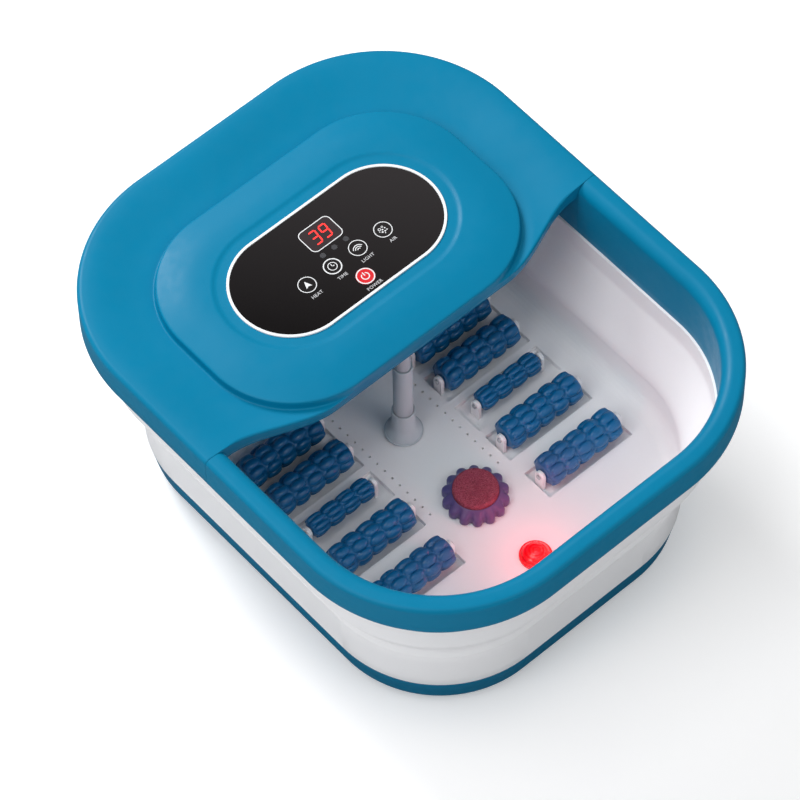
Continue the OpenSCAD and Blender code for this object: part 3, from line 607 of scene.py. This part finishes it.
def rect_distance(x, y, centre_y, half_x, half_y, radius):
    """Signed distance to a rounded rectangle centred on (0, centre_y); negative inside."""
    dx, dy = np.abs(x) - (half_x - radius), np.abs(y - centre_y) - (half_y - radius)
    outside = np.hypot(np.maximum(dx, 0), np.maximum(dy, 0))
    return outside + np.minimum(np.maximum(dx, dy), 0) - radius


def island_distance(x, y):
    return rect_distance(x, y, centre_y=73.3, half_x=127.4, half_y=89.2, radius=70.0)


def panel_distance(x, y):
    return rect_distance(x, y, centre_y=74.5, half_x=86.2, half_y=44.4, radius=44.399)


def rim_inset(x, y):
    return -rect_distance(x, y, 0.0, HALF_WIDTH, HALF_LENGTH, CORNER_R)


def front_y(x):
    """Front line of the cover: at the seam by the sides, bulging forward in the middle."""
    return SEAM_Y - 20.9 * smooth((HALF_WIDTH - 21 - np.abs(x)) / (HALF_WIDTH - 100))


def round_drop(distance, radius):
    """Depth below a face of a quarter-round edge, at a distance in from the edge."""
    rest = radius - np.clip(distance, 0, radius)
    return radius - np.sqrt(np.clip(radius ** 2 - rest ** 2, 0, None))


def cover_height(x, y):
    """Top surface of the cover, before its front edge is rounded."""
    island, panel, inset = island_distance(x, y), panel_distance(x, y), rim_inset(x, y)
    z = RIM_TOP + np.interp(island, *ISLAND_PROFILE.T)
    # beyond the island the valley climbs back to the rim top
    inner = np.clip(inset - 7.0, 0, None)
    share = inner / np.maximum(inner + np.clip(island - 9, 0, None), 1e-6)
    slope = RIM_TOP - 5.5 * (0.5 * smooth(share) + 0.5 * share ** 1.3)
    z = np.where(island > 9, slope, z)
    rounded = RIM_TOP - round_drop(inset, OUTER_ROUND)
    z = np.where(inset < OUTER_ROUND, np.minimum(z, rounded), z)
    # shallow recess around the panel
    return z - 1.0 * smooth((10.6 - panel) / 3.4) * (island < -3)


def front_edge_radius(x, y):
    wide = smooth((160 - np.abs(x)) / 14)
    spread = smooth(np.clip(island_distance(x, y), 0, None) / 9 + 0.12)
    return np.maximum((0.5 + 1.3 * wide) * spread, 0.25)


def front_edge_distance(x, y):
    """Distance to the front line, worked out only for points with y below 30."""
    line_x = np.linspace(-HALF_WIDTH, HALF_WIDTH, 900)
    line_y = front_y(line_x) + COVER_GAP
    distance = np.full(x.shape, 99.0)
    near = np.argwhere(y < 30)
    # in chunks, to bound the memory
    for start in range(0, len(near), 3000):
        rows, columns = near[start:start + 3000].T
        dx = x[rows, columns][:, None] - line_x
        dy = y[rows, columns][:, None] - line_y
        distance[rows, columns] = np.hypot(dx, dy).min(1)
    return distance


def cover_outline():
    """Counter-clockwise outline from the right seam corner, and which points are on the front."""
    seam = SEAM_Y + COVER_GAP
    points = [(HALF_WIDTH, seam + (CORNER_Y - seam) * i / 33) for i in range(34)]
    points += arc(CORNER_X, CORNER_Y, CORNER_R, 0, 90, 60)[1:]
    points += [(CORNER_X - 2 * CORNER_X * i / 40, HALF_LENGTH) for i in range(1, 40)]
    points += arc(-CORNER_X, CORNER_Y, CORNER_R, 90, 180, 60)
    points += [(-HALF_WIDTH, CORNER_Y + (seam - CORNER_Y) * i / 33) for i in range(1, 34)]
    front_start = len(points)
    front_x = np.concatenate([np.linspace(-HALF_WIDTH + 0.6, -157, 10),
                              np.linspace(-157, 157, 150)[1:-1],
                              np.linspace(157, HALF_WIDTH - 0.6, 10)])
    points += [(x, float(front_y(x)) + COVER_GAP) for x in front_x]
    return np.array(points), np.arange(len(points)) >= front_start


def on_rays(angles, radius):
    return radius * np.cos(angles), RAY_Y + radius * np.sin(angles)


def solve_radius(angles, distance, target):
    """Radius along each ray at which distance(x, y) reaches target, by halving."""
    low, high = np.full(len(angles), 5.0), np.full(len(angles), 330.0)
    for _ in range(46):
        middle = (low + high) / 2
        short = distance(*on_rays(angles, middle)) < target
        low, high = np.where(short, middle, low), np.where(short, high, middle)
    return (low + high) / 2


def cover_radii(angles, edge):
    """Grid radii, levels x rays, from the panel outline to the cover's edge."""
    levels = [solve_radius(angles, panel_distance, t) for t in PANEL_LEVELS]
    island = [np.minimum(solve_radius(angles, island_distance, t), edge + t * 0.999)
              for t in ISLAND_LEVELS]
    start, end = levels[-1], island[0]
    levels += [start + (end - start) * t for t in BETWEEN]
    levels += island
    foot = levels[-1]
    squeeze = np.minimum(np.maximum(edge - foot, 0) / FULL_GAP, 1.0)
    levels += [foot + t * squeeze for t in VALLEY_LEVELS]
    start, end = levels[-1], edge - EDGE_LEVELS[0] * squeeze
    levels += [start + (end - start) * t for t in BETWEEN]
    levels += [edge - t * squeeze for t in EDGE_LEVELS]
    return np.minimum(np.maximum.accumulate(np.array(levels), axis=0), edge)


def rear_cover():
    """Closed shell: top surface, outer drop, and underside back to the panel opening."""
    outline, on_front = cover_outline()
    outline_x, outline_y = outline.T
    angles = np.unwrap(np.arctan2(outline_y - RAY_Y, outline_x))
    edge = np.hypot(outline_x, outline_y - RAY_Y)
    radii = cover_radii(angles, edge)

    x, y = on_rays(angles, radii)
    distance = front_edge_distance(x, y)
    distance = np.where(on_front, np.minimum(distance, edge - radii), distance)
    z = cover_height(x, y) - round_drop(distance, front_edge_radius(x, y))
    rows = list(np.stack([x, y, z], 2))

    # bottom of the drop: skirt outside, lower over the collar than between skirt and collar
    inset = rim_inset(outline_x, outline_y)
    front_bottom = np.where(inset < 2.4, SKIRT_BOTTOM,
                            np.where(inset < 17.6, RIM_TOP - 7.4, 183.1))
    bottom = np.where(on_front, front_bottom, SKIRT_BOTTOM)
    for t in (0.08, 0.35, 0.7, 1.0):
        rows.append(np.stack([outline_x, outline_y, z[-1] + (bottom + 0.6 - z[-1]) * t], 1))

    inner_edge = edge - SHELL_WALL
    x, y = on_rays(angles, np.minimum(radii, inner_edge)[::-1])
    z = cover_height(x, y) - SHELL_WALL
    z = np.maximum(z, np.minimum(bottom + 0.4, z[0]))
    for radius, level in ((edge - 0.5, bottom), (inner_edge + 0.5, bottom),
                          (inner_edge, np.minimum(bottom + 0.6, z[0]))):
        rows.append(np.stack([*on_rays(angles, radius), level], 1))
    rows += list(np.stack([x, y, z], 2))

    verts, faces = loft(rows)
    # wound the other way round
    faces = [(a, d, c, b) for a, b, c, d in faces]
    ob = add_mesh("rear_cover_shell", verts, faces, "shell_blue", sharp=42, merge=0.03)
    assign(ob, "rim", "shell_blue", "rear_cover")


rear_cover()


# ------------------------------------------------------------------ massage rollers
KNOBS_ROUND = 8              # knobs in each ring


def knob_relief(x, angles, pitch, ring_count):
    """Knob height from 0 to 1 round the roller at x; alternate rings are turned half a knob."""
    step = 2 * math.pi / KNOBS_ROUND
    relief = np.zeros(len(angles))
    for ring in range(ring_count):
        ring_x = (ring - (ring_count - 1) / 2) * pitch
        for knob in range(KNOBS_ROUND):
            knob_angle = knob * step + (ring % 2) * step / 2
            turn = (angles - knob_angle + math.pi) % (2 * math.pi) - math.pi
            reach = np.hypot((x - ring_x) / (pitch * 0.50), turn / (step / 2 * 1.02))
            relief = np.maximum(relief, np.clip(1 - reach ** 2.3, 0, 1) ** 0.55)
    return relief


def roller(node):
    low, high, centre = box_mm(node)
    half, radius = (high[0] - low[0]) / 2, (high[1] - low[1]) / 2
    ring_count = 4 if radius < 10 else 5
    knob_height = 2.9 if radius > 10 else 2.5
    core = radius - knob_height
    pitch = 2 * half / ring_count
    angles = full_turn(112)
    # end face and rounding: distance in from the end, radius
    end = [(0, 2.1), (0, 3.4), (0, core - 1.8), (0.25, core - 0.9), (0.9, core - 0.3)]
    rows = [(-half + inset, r) for inset, r in end]
    rows += [(x, core + (knob_height - 0.06) * knob_relief(x, angles, pitch, ring_count))
             for x in np.linspace(-half + 1.6, half - 1.6, 92)]
    rows += [(half - inset, r) for inset, r in reversed(end)]
    rings = [np.stack([np.full(len(angles), x), r * np.cos(angles), r * np.sin(angles)], 1)
             for x, r in rows]
    verts, faces = loft(rings)
    ob = add_mesh("massage_" + node, verts + centre, faces, "roller_blue", sharp=48)
    assign(ob, node, "roller_blue", node)


for node in sorted(n for n in NODES if n.startswith("roller_") and n != "roller_axles"):
    roller(node)


# ------------------------------------------------------------------ massage head and rough pad
LOBES = 14
LOBE_R = 3.6
LOBE_ROOT = 17.6             # radius where the lobes fade into a plain circle


def head_body(low, high, centre):
    """Scalloped ring with a raised lip round the pad."""
    bottom, top = low[2], high[2]
    outer = (high[0] - low[0]) / 2

    def scallop(angles, radius):
        if radius < LOBE_ROOT + 0.1:
            return np.full(len(angles), radius)
        turn = (angles * LOBES / (2 * math.pi)) % 1.0
        turn = np.minimum(turn, 1 - turn) * 2 * math.pi / LOBES
        reach = outer - LOBE_R
        rim = reach * np.cos(turn) + np.sqrt(
            np.clip(LOBE_R ** 2 - (reach * np.sin(turn)) ** 2, 0, None))
        rim = np.maximum(rim, outer - 3.3)
        return LOBE_ROOT + (rim - LOBE_ROOT) * (radius - LOBE_ROOT) / (outer - LOBE_ROOT)

    # inset from the outer radius, height above the bottom
    side = [(2.2, 0), (0.6, 0.35), (0, 1.3), (0, 3), (0, 5.2), (0.25, 6.6), (0.9, 7.6),
            (1.7, 8.3), (2.6, 8.9), (3.4, 9.35), (4.2, 9.9), (5.0, 10.6)]
    floor_z = bottom + 10.9
    profile = [
        (6.2, bottom), (12, bottom),
        *((outer - inset, bottom + rise) for inset, rise in side),
        (18.0, bottom + 11.25), (17.55, bottom + 11.7), (17.2, top - 0.1), (16.9, top),
        (16.66, top - 0.15), (16.62, top - 0.6), (16.62, floor_z), (12, floor_z),
        (6.2, floor_z), (6.2, bottom + 6)]
    verts, faces = loft(revolve(profile, LOBES * 16, scallop))
    ob = add_mesh("massage_head_body", verts + [centre[0], centre[1], 0], faces, "head_blue",
                  sharp=45)
    assign(ob, "massage_head", "roller_blue", "head_base")


def rough_pad(centre):
    """Domed disc with a random rough surface above its lower edge."""
    low, high, _ = box_mm("pumice_pad")
    bottom, top = low[2], high[2]
    count = 150
    profile = [(0.001, bottom), (8, bottom), (16.3, bottom), (16.5, bottom + 0.3),
               (16.5, bottom + 1.5), (16.5, bottom + 2.7), (16.4, bottom + 3.6),
               (16.0, top - 1.3), (15.4, top - 0.8)]
    profile += [(r, top - 0.55 * (r / 15.0) ** 6 - 0.15) for r in np.linspace(14.8, 0.4, 26)]
    profile.append((0.001, top - 0.15))
    random = np.random.RandomState(5)
    rings = revolve(profile, count)
    for (radius, _), ring in list(zip(profile, rings))[4:]:
        if radius > 0.2:
            ring[:, 2] += (random.rand(count) - 0.75) * 0.42 * min(1.0, radius / 3.0)
        else:
            ring[:, 2] -= 0.1
        ring[:, :2] *= 1 + (random.rand(count)[:, None] - 0.6) * 0.02
    verts, faces = loft(rings, open_run=True)
    ob = add_mesh("rough_pad", verts + [centre[0], centre[1], 0], faces, "pumice",
                  sharp=70, merge=0.02)
    assign(ob, "massage_head", "pumice", "pumice_pad")


head_box = box_mm("head_base")
head_body(*head_box)
rough_pad(head_box[2])

# ------------------------------------------------------------------ mains cord
CORD_R = 2.95
CORD_EXIT = [
    (45, 124, 22), (45, 150, 22), (45, 176, 22), (45, 187, 22), (45, 192.4, 20.8),
    (45, 195.7, 17.4), (45, 196.5, 13), (44.6, 199.5, 8.2), (42.2, 204.4, 4.7),
    (37, 208.2, 3.6), (30, 208.9, 3.4)]
HANK_X, HANK_Y = -20, 199.4
# turns of the hank: end radius, half length of the straight part, z
HANK_TURNS = [(9.4, 44, 3.4), (9.5, 44, 9.5), (3.5, 41, 3.5), (3.5, 41, 9.7), (9.0, 42, 15.8)]
CORD_TO_PLUG = [
    (31.6, 198, 15.4), (34.5, 191.5, 13), (40, 186.6, 9.4), (47.5, 183.9, 6.8),
    (58, 183, 6.05), (78, 183, 6), (100, 183, 6)]


def spline(points):
    """Catmull-Rom curve through the points, eight steps to a span."""
    points = np.asarray(points, float)
    padded = np.vstack([2 * points[0] - points[1], points, 2 * points[-1] - points[-2]])
    curve = []
    for a, b, c, d in zip(padded, padded[1:], padded[2:], padded[3:]):
        for t in np.linspace(0, 1, 9)[:-1]:
            curve.append(0.5 * ((2 * b) + (-a + c) * t + (2 * a - 5 * b + 4 * c - d) * t * t
                                + (-a + 3 * b - 3 * c + d) * t ** 3))
    curve.append(points[-1])
    return np.array(curve)


def tube(path, radius, count=20):
    """Round tube along a path, closed at both ends."""
    tangents = np.gradient(path, axis=0)
    tangents /= np.linalg.norm(tangents, axis=1)[:, None] + 1e-9
    angles = full_turn(count)
    rings = []
    side = None
    for point, tangent in zip(path, tangents):
        # carry the side direction along, so the tube does not twist
        if side is None:
            side = np.cross(np.array([0, 0, 1.0]), tangent)
        else:
            side = side - tangent * (side @ tangent)
        if np.linalg.norm(side) < 1e-3:      # lies along the tangent: start afresh from X
            side = np.cross(np.array([1.0, 0, 0]), tangent)
        side /= np.linalg.norm(side)
        other = np.cross(tangent, side)
        rings.append(point + radius * (np.cos(angles)[:, None] * side
                                       + np.sin(angles)[:, None] * other))
    verts, faces = loft(rings, open_run=True)
    faces.append(tuple(reversed(range(count))))
    faces.append(tuple((len(rings) - 1) * count + i for i in range(count)))
    return verts, faces


def mains_cord():
    """Exit from the base, flat hank, and run to the plug."""
    points = list(CORD_EXIT)
    for radius, half, z in HANK_TURNS:
        for degrees in range(90, 391, 20):
            c, s = math.cos(math.radians(degrees)), math.sin(math.radians(degrees))
            points.append((HANK_X + (half if c >= 0 else -half) + radius * c,
                           HANK_Y + radius * s, z))
    path = spline(points + CORD_TO_PLUG)
    path[:, 2] = np.maximum(path[:, 2], CORD_R + 0.2)      # keep off the floor
    ob = add_mesh("mains_cord", *tube(path, CORD_R), "cord_white", sharp=60)
    assign(ob, "base", "cord_white", "power_cord")


mains_cord()


# ------------------------------------------------------------------ printed shapes
def plate(name, outlines, z, material, origin=(0, 0), thickness=0.05):
    """Thin solids from closed outlines; a tuple (outer, inner) of outlines is a ring."""
    verts, faces = [], []
    for outline in outlines:
        loops = outline if isinstance(outline, tuple) else (outline,)
        start, n = len(verts), len(loops[0])
        for level in (z, z + thickness):
            verts += [(x + origin[0], y + origin[1], level) for loop in loops for x, y in loop]
        if len(loops) == 1:
            faces.append(tuple(start + n + i for i in range(n)))
            faces.append(tuple(start + i for i in reversed(range(n))))
        for i in range(n):
            a, b = start + i, start + (i + 1) % n
            if len(loops) == 1:
                faces.append((a, b, b + n, a + n))
                continue
            inner_a, inner_b = a + n, b + n
            top_a, top_b, top_inner_a, top_inner_b = (v + 2 * n for v in (a, b, inner_a, inner_b))
            faces += [(top_a, top_b, top_inner_b, top_inner_a), (a, inner_a, inner_b, b),
                      (a, b, top_b, top_a), (inner_a, top_inner_a, top_inner_b, inner_b)]
    return add_mesh(name, verts, faces, material)


def circle(cx, cy, radius, count):
    return [(cx + radius * math.cos(2 * math.pi * i / count),
             cy + radius * math.sin(2 * math.pi * i / count)) for i in range(count)]


def annulus(cx, cy, outer, inner, count):
    return circle(cx, cy, outer, count), circle(cx, cy, inner, count)


def arc_band(cx, cy, radius, width, start, end, steps=24):
    return (arc(cx, cy, radius + width / 2, start, end, steps)
            + arc(cx, cy, radius - width / 2, start, end, steps)[::-1])


def bar(x0, y0, x1, y1, width):
    dx, dy = x1 - x0, y1 - y0
    length = math.hypot(dx, dy)
    nx, ny = -dy / length * width / 2, dx / length * width / 2
    return [(x0 - nx, y0 - ny), (x1 - nx, y1 - ny), (x1 + nx, y1 + ny), (x0 + nx, y0 + ny)]


def rounded_rect(half_x, half_y, radius):
    points = []
    for sx, sy, start in CORNERS:
        points += arc(sx * (half_x - radius), sy * (half_y - radius), radius,
                      start, start + 90, 10)
    return points


# ------------------------------------------------------------------ key marks
# bubbles: x, y, outer and inner radius, points; then x, y, radius, points
OPEN_BUBBLES = [(-1.9, 1.5, 1.15, 0.72, 28), (0.9, 2.2, 0.8, 0.42, 24)]
SOLID_BUBBLES = [
    (1.9, 0.3, 0.55, 20), (-0.3, 0.1, 0.62, 20), (-1.6, -1.5, 0.7, 20), (0.5, -1.9, 0.62, 20),
    (2.3, -1.6, 0.5, 20), (-3.1, -0.2, 0.42, 16), (-0.4, -3.2, 0.42, 16)]
# key: inner radius of its edge ring, shapes about the key's centre
ICONS = {
    "key_temp": (6.1, [[(0.0, 3.3), (2.5, -2.6), (0.0, -1.5), (-2.5, -2.6)]]),
    "key_timer": (5.85, [annulus(0, 0, 3.5, 2.95, 48), bar(0, -0.3, 0, 2.2, 0.62),
                         bar(-0.2, 0, 1.7, 0, 0.62)]),
    "key_light": (6.1, [arc_band(0, -1.9, 1.2, 0.62, 20, 160),
                        arc_band(0, -1.9, 2.75, 0.62, 22, 158),
                        arc_band(0, -1.9, 4.3, 0.62, 25, 155)]),
    "key_bubble": (6.1, [annulus(*bubble) for bubble in OPEN_BUBBLES]
                   + [circle(*bubble) for bubble in SOLID_BUBBLES]),
    "key_power": (5.85, [arc_band(0, 0, 2.75, 0.75, 120, 420, 40), bar(0, 0.5, 0, 3.6, 0.78)]),
}
for node, (edge_inner, shapes) in ICONS.items():
    _, high, centre = box_mm(node)
    ob = plate(node.replace("key", "mark"), [annulus(0, 0, 6.7, edge_inner, 72)] + shapes,
               high[2], "ink_white", origin=centre[:2])
    assign(ob, node, "trim_white")

# ------------------------------------------------------------------ key labels
LABEL_SIZE = 3.6
# name, text, key, distance in front of the key's centre
LABELS = [
    ("label_heat", "HEAT", "key_temp", 10.8), ("label_time", "TIME", "key_timer", 10.8),
    ("label_light", "LIGHT", "key_light", 10.8), ("label_air", "AIR", "key_bubble", 10.8),
    ("label_power", "POWER", "key_power", 9.9)]


def label(name, text, x, y):
    """Text printed on the panel, turned into a welded mesh."""
    curve = bpy.data.curves.new(name + "_c", "FONT")
    curve.body = text
    curve.size = LABEL_SIZE * MM
    curve.align_x = "CENTER"
    curve.align_y = "CENTER"
    curve.extrude = 0.000025
    curve.space_character = 1.08
    curve.offset = 0.00003           # slightly bolder strokes
    curve.resolution_u = 3
    text_ob = link(bpy.data.objects.new(name + "_t", curve))
    bpy.context.view_layer.update()
    depsgraph = bpy.context.evaluated_depsgraph_get()
    mesh = bpy.data.meshes.new_from_object(text_ob.evaluated_get(depsgraph))
    bpy.data.objects.remove(text_ob)
    mesh.transform(Matrix.Translation((x * MM, y * MM, PANEL_TOP * MM + 0.000026)))
    mesh.name = name
    bm = bmesh.new()
    bm.from_mesh(mesh)
    bmesh.ops.remove_doubles(bm, verts=bm.verts, dist=1e-6)
    bm.to_mesh(mesh)
    bm.free()
    mesh.materials.clear()
    mesh.materials.append(MATERIAL["ink_grey"])
    assign(link(bpy.data.objects.new(name, mesh)), "rim", "trim_white")


for name, text, node, offset in LABELS:
    key_x, key_y, _ = box_mm(node)[2]
    label(name, text, key_x, key_y - offset)


# ------------------------------------------------------------------ display
SEGMENTS = {"3": "abgcd", "9": "abcdfg"}


def digit(value, cx, cy, width=5.3, height=10.9, stroke=1.0, gap=0.18, slant=0.10):
    """Outlines of a slanted seven-segment digit."""
    right, top, half = width / 2, height / 2, stroke / 2

    def across(y):
        end, shoulder = right - gap, right - half - gap
        return [(-end, y), (-shoulder, y + half), (shoulder, y + half),
                (end, y), (shoulder, y - half), (-shoulder, y - half)]

    def upright(x, y0, y1):
        return [(x, y0 + gap), (x + half, y0 + half + gap), (x + half, y1 - half - gap),
                (x, y1 - gap), (x - half, y1 - half - gap), (x - half, y0 + half + gap)]

    parts = {"a": across(top), "g": across(0), "d": across(-top),
             "b": upright(right, 0, top), "c": upright(right, -top, 0),
             "f": upright(-right, 0, top)}
    return [[(cx + x + slant * y, cy + y) for x, y in parts[part]] for part in SEGMENTS[value]]


def display():
    """Frame line round the window and a two-digit number."""
    _, high, (cx, cy, _) = box_mm("display_window")
    frame_line = (rounded_rect(13.9, 10.3, 4.45), rounded_rect(13.25, 9.65, 3.8))
    ob = plate("display_frame", [frame_line], high[2], "ink_white", origin=(cx, cy))
    assign(ob, "rim", "trim_white")
    digits = digit("3", cx - 4.4, cy) + digit("9", cx + 4.4, cy)
    ob = plate("display_digits", digits, high[2] + 0.005, "digit_red")
    assign(ob, "rim", "lens_red")


display()


# ------------------------------------------------------------------ floor and world
def add_floor():
    bm = bmesh.new()
    bmesh.ops.create_grid(bm, x_segments=8, y_segments=8, size=6.0)
    mesh = bpy.data.meshes.new("studio_floor")
    bm.to_mesh(mesh)
    bm.free()
    floor = bpy.data.objects.new("studio_floor", mesh)
    mesh.materials.append(studio_floor("studio_floor"))
    link(floor)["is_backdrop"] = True


def set_world():
    world = bpy.data.worlds.new("studio")
    bpy.context.scene.world = world
    world.use_nodes = True
    background = world.node_tree.nodes["Background"]
    background.inputs["Color"].default_value = (1, 1, 1, 1)
    background.inputs["Strength"].default_value = 0.345


add_floor()
set_world()


# ------------------------------------------------------------------ lights
def area_light(name, location, target, size, power):
    light = bpy.data.lights.new(name, "AREA")
    light.size = size
    light.energy = power
    ob = bpy.data.objects.new(name, light)
    ob.location = location
    aim = Vector(target) - Vector(location)
    ob.rotation_euler = aim.to_track_quat("-Z", "Y").to_euler()
    link(ob)


def lamp_glow():
    """Small red light just above the lens."""
    _, high, centre = box("red_lens")
    light = bpy.data.lights.new("lamp_glow", "POINT")
    light.energy = 0.045
    light.color = (1.0, 0.10, 0.14)
    light.shadow_soft_size = 0.012
    ob = bpy.data.objects.new("lamp_glow", light)
    ob.location = (centre[0], centre[1], high[2] + 0.03)
    link(ob)


area_light("key", location=(0.05, 1.9, 1.85), target=(0, 0.05, 0.19), size=0.9, power=46)
area_light("left", location=(-1.8, -0.1, 1.7), target=(0, 0, 0.1), size=1.1, power=12)
area_light("front", location=(0.3, -1.7, 2.1), target=(0, 0, 0.1), size=1.1, power=8)
area_light("top", location=(-0.75, 0.1, 2.3), target=(0, 0, 0.1), size=1.3, power=12)
lamp_glow()

# ------------------------------------------------------------------ camera
CAMERA_RIGHT = (0.74892571, -0.66256121, -0.01108702)
CAMERA_UP = (0.56033219, 0.62426216, 0.54435705)
CAMERA_BACK = (-0.35374865, -0.41389541, 0.83878036)
CAMERA_PLACE = (-1.18539, -1.37553, 2.89323)


def add_camera():
    camera = bpy.data.cameras.new("camera")
    camera.lens = 214.89
    camera.sensor_width = 36
    camera.clip_start = 0.1
    camera.clip_end = 50
    ob = bpy.data.objects.new("camera", camera)
    rows = zip(CAMERA_RIGHT, CAMERA_UP, CAMERA_BACK, CAMERA_PLACE)
    ob.matrix_world = Matrix((*rows, (0, 0, 0, 1)))
    bpy.context.scene.camera = link(ob)
    bpy.context.scene.view_settings.view_transform = "Standard"


add_camera()

low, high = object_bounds()
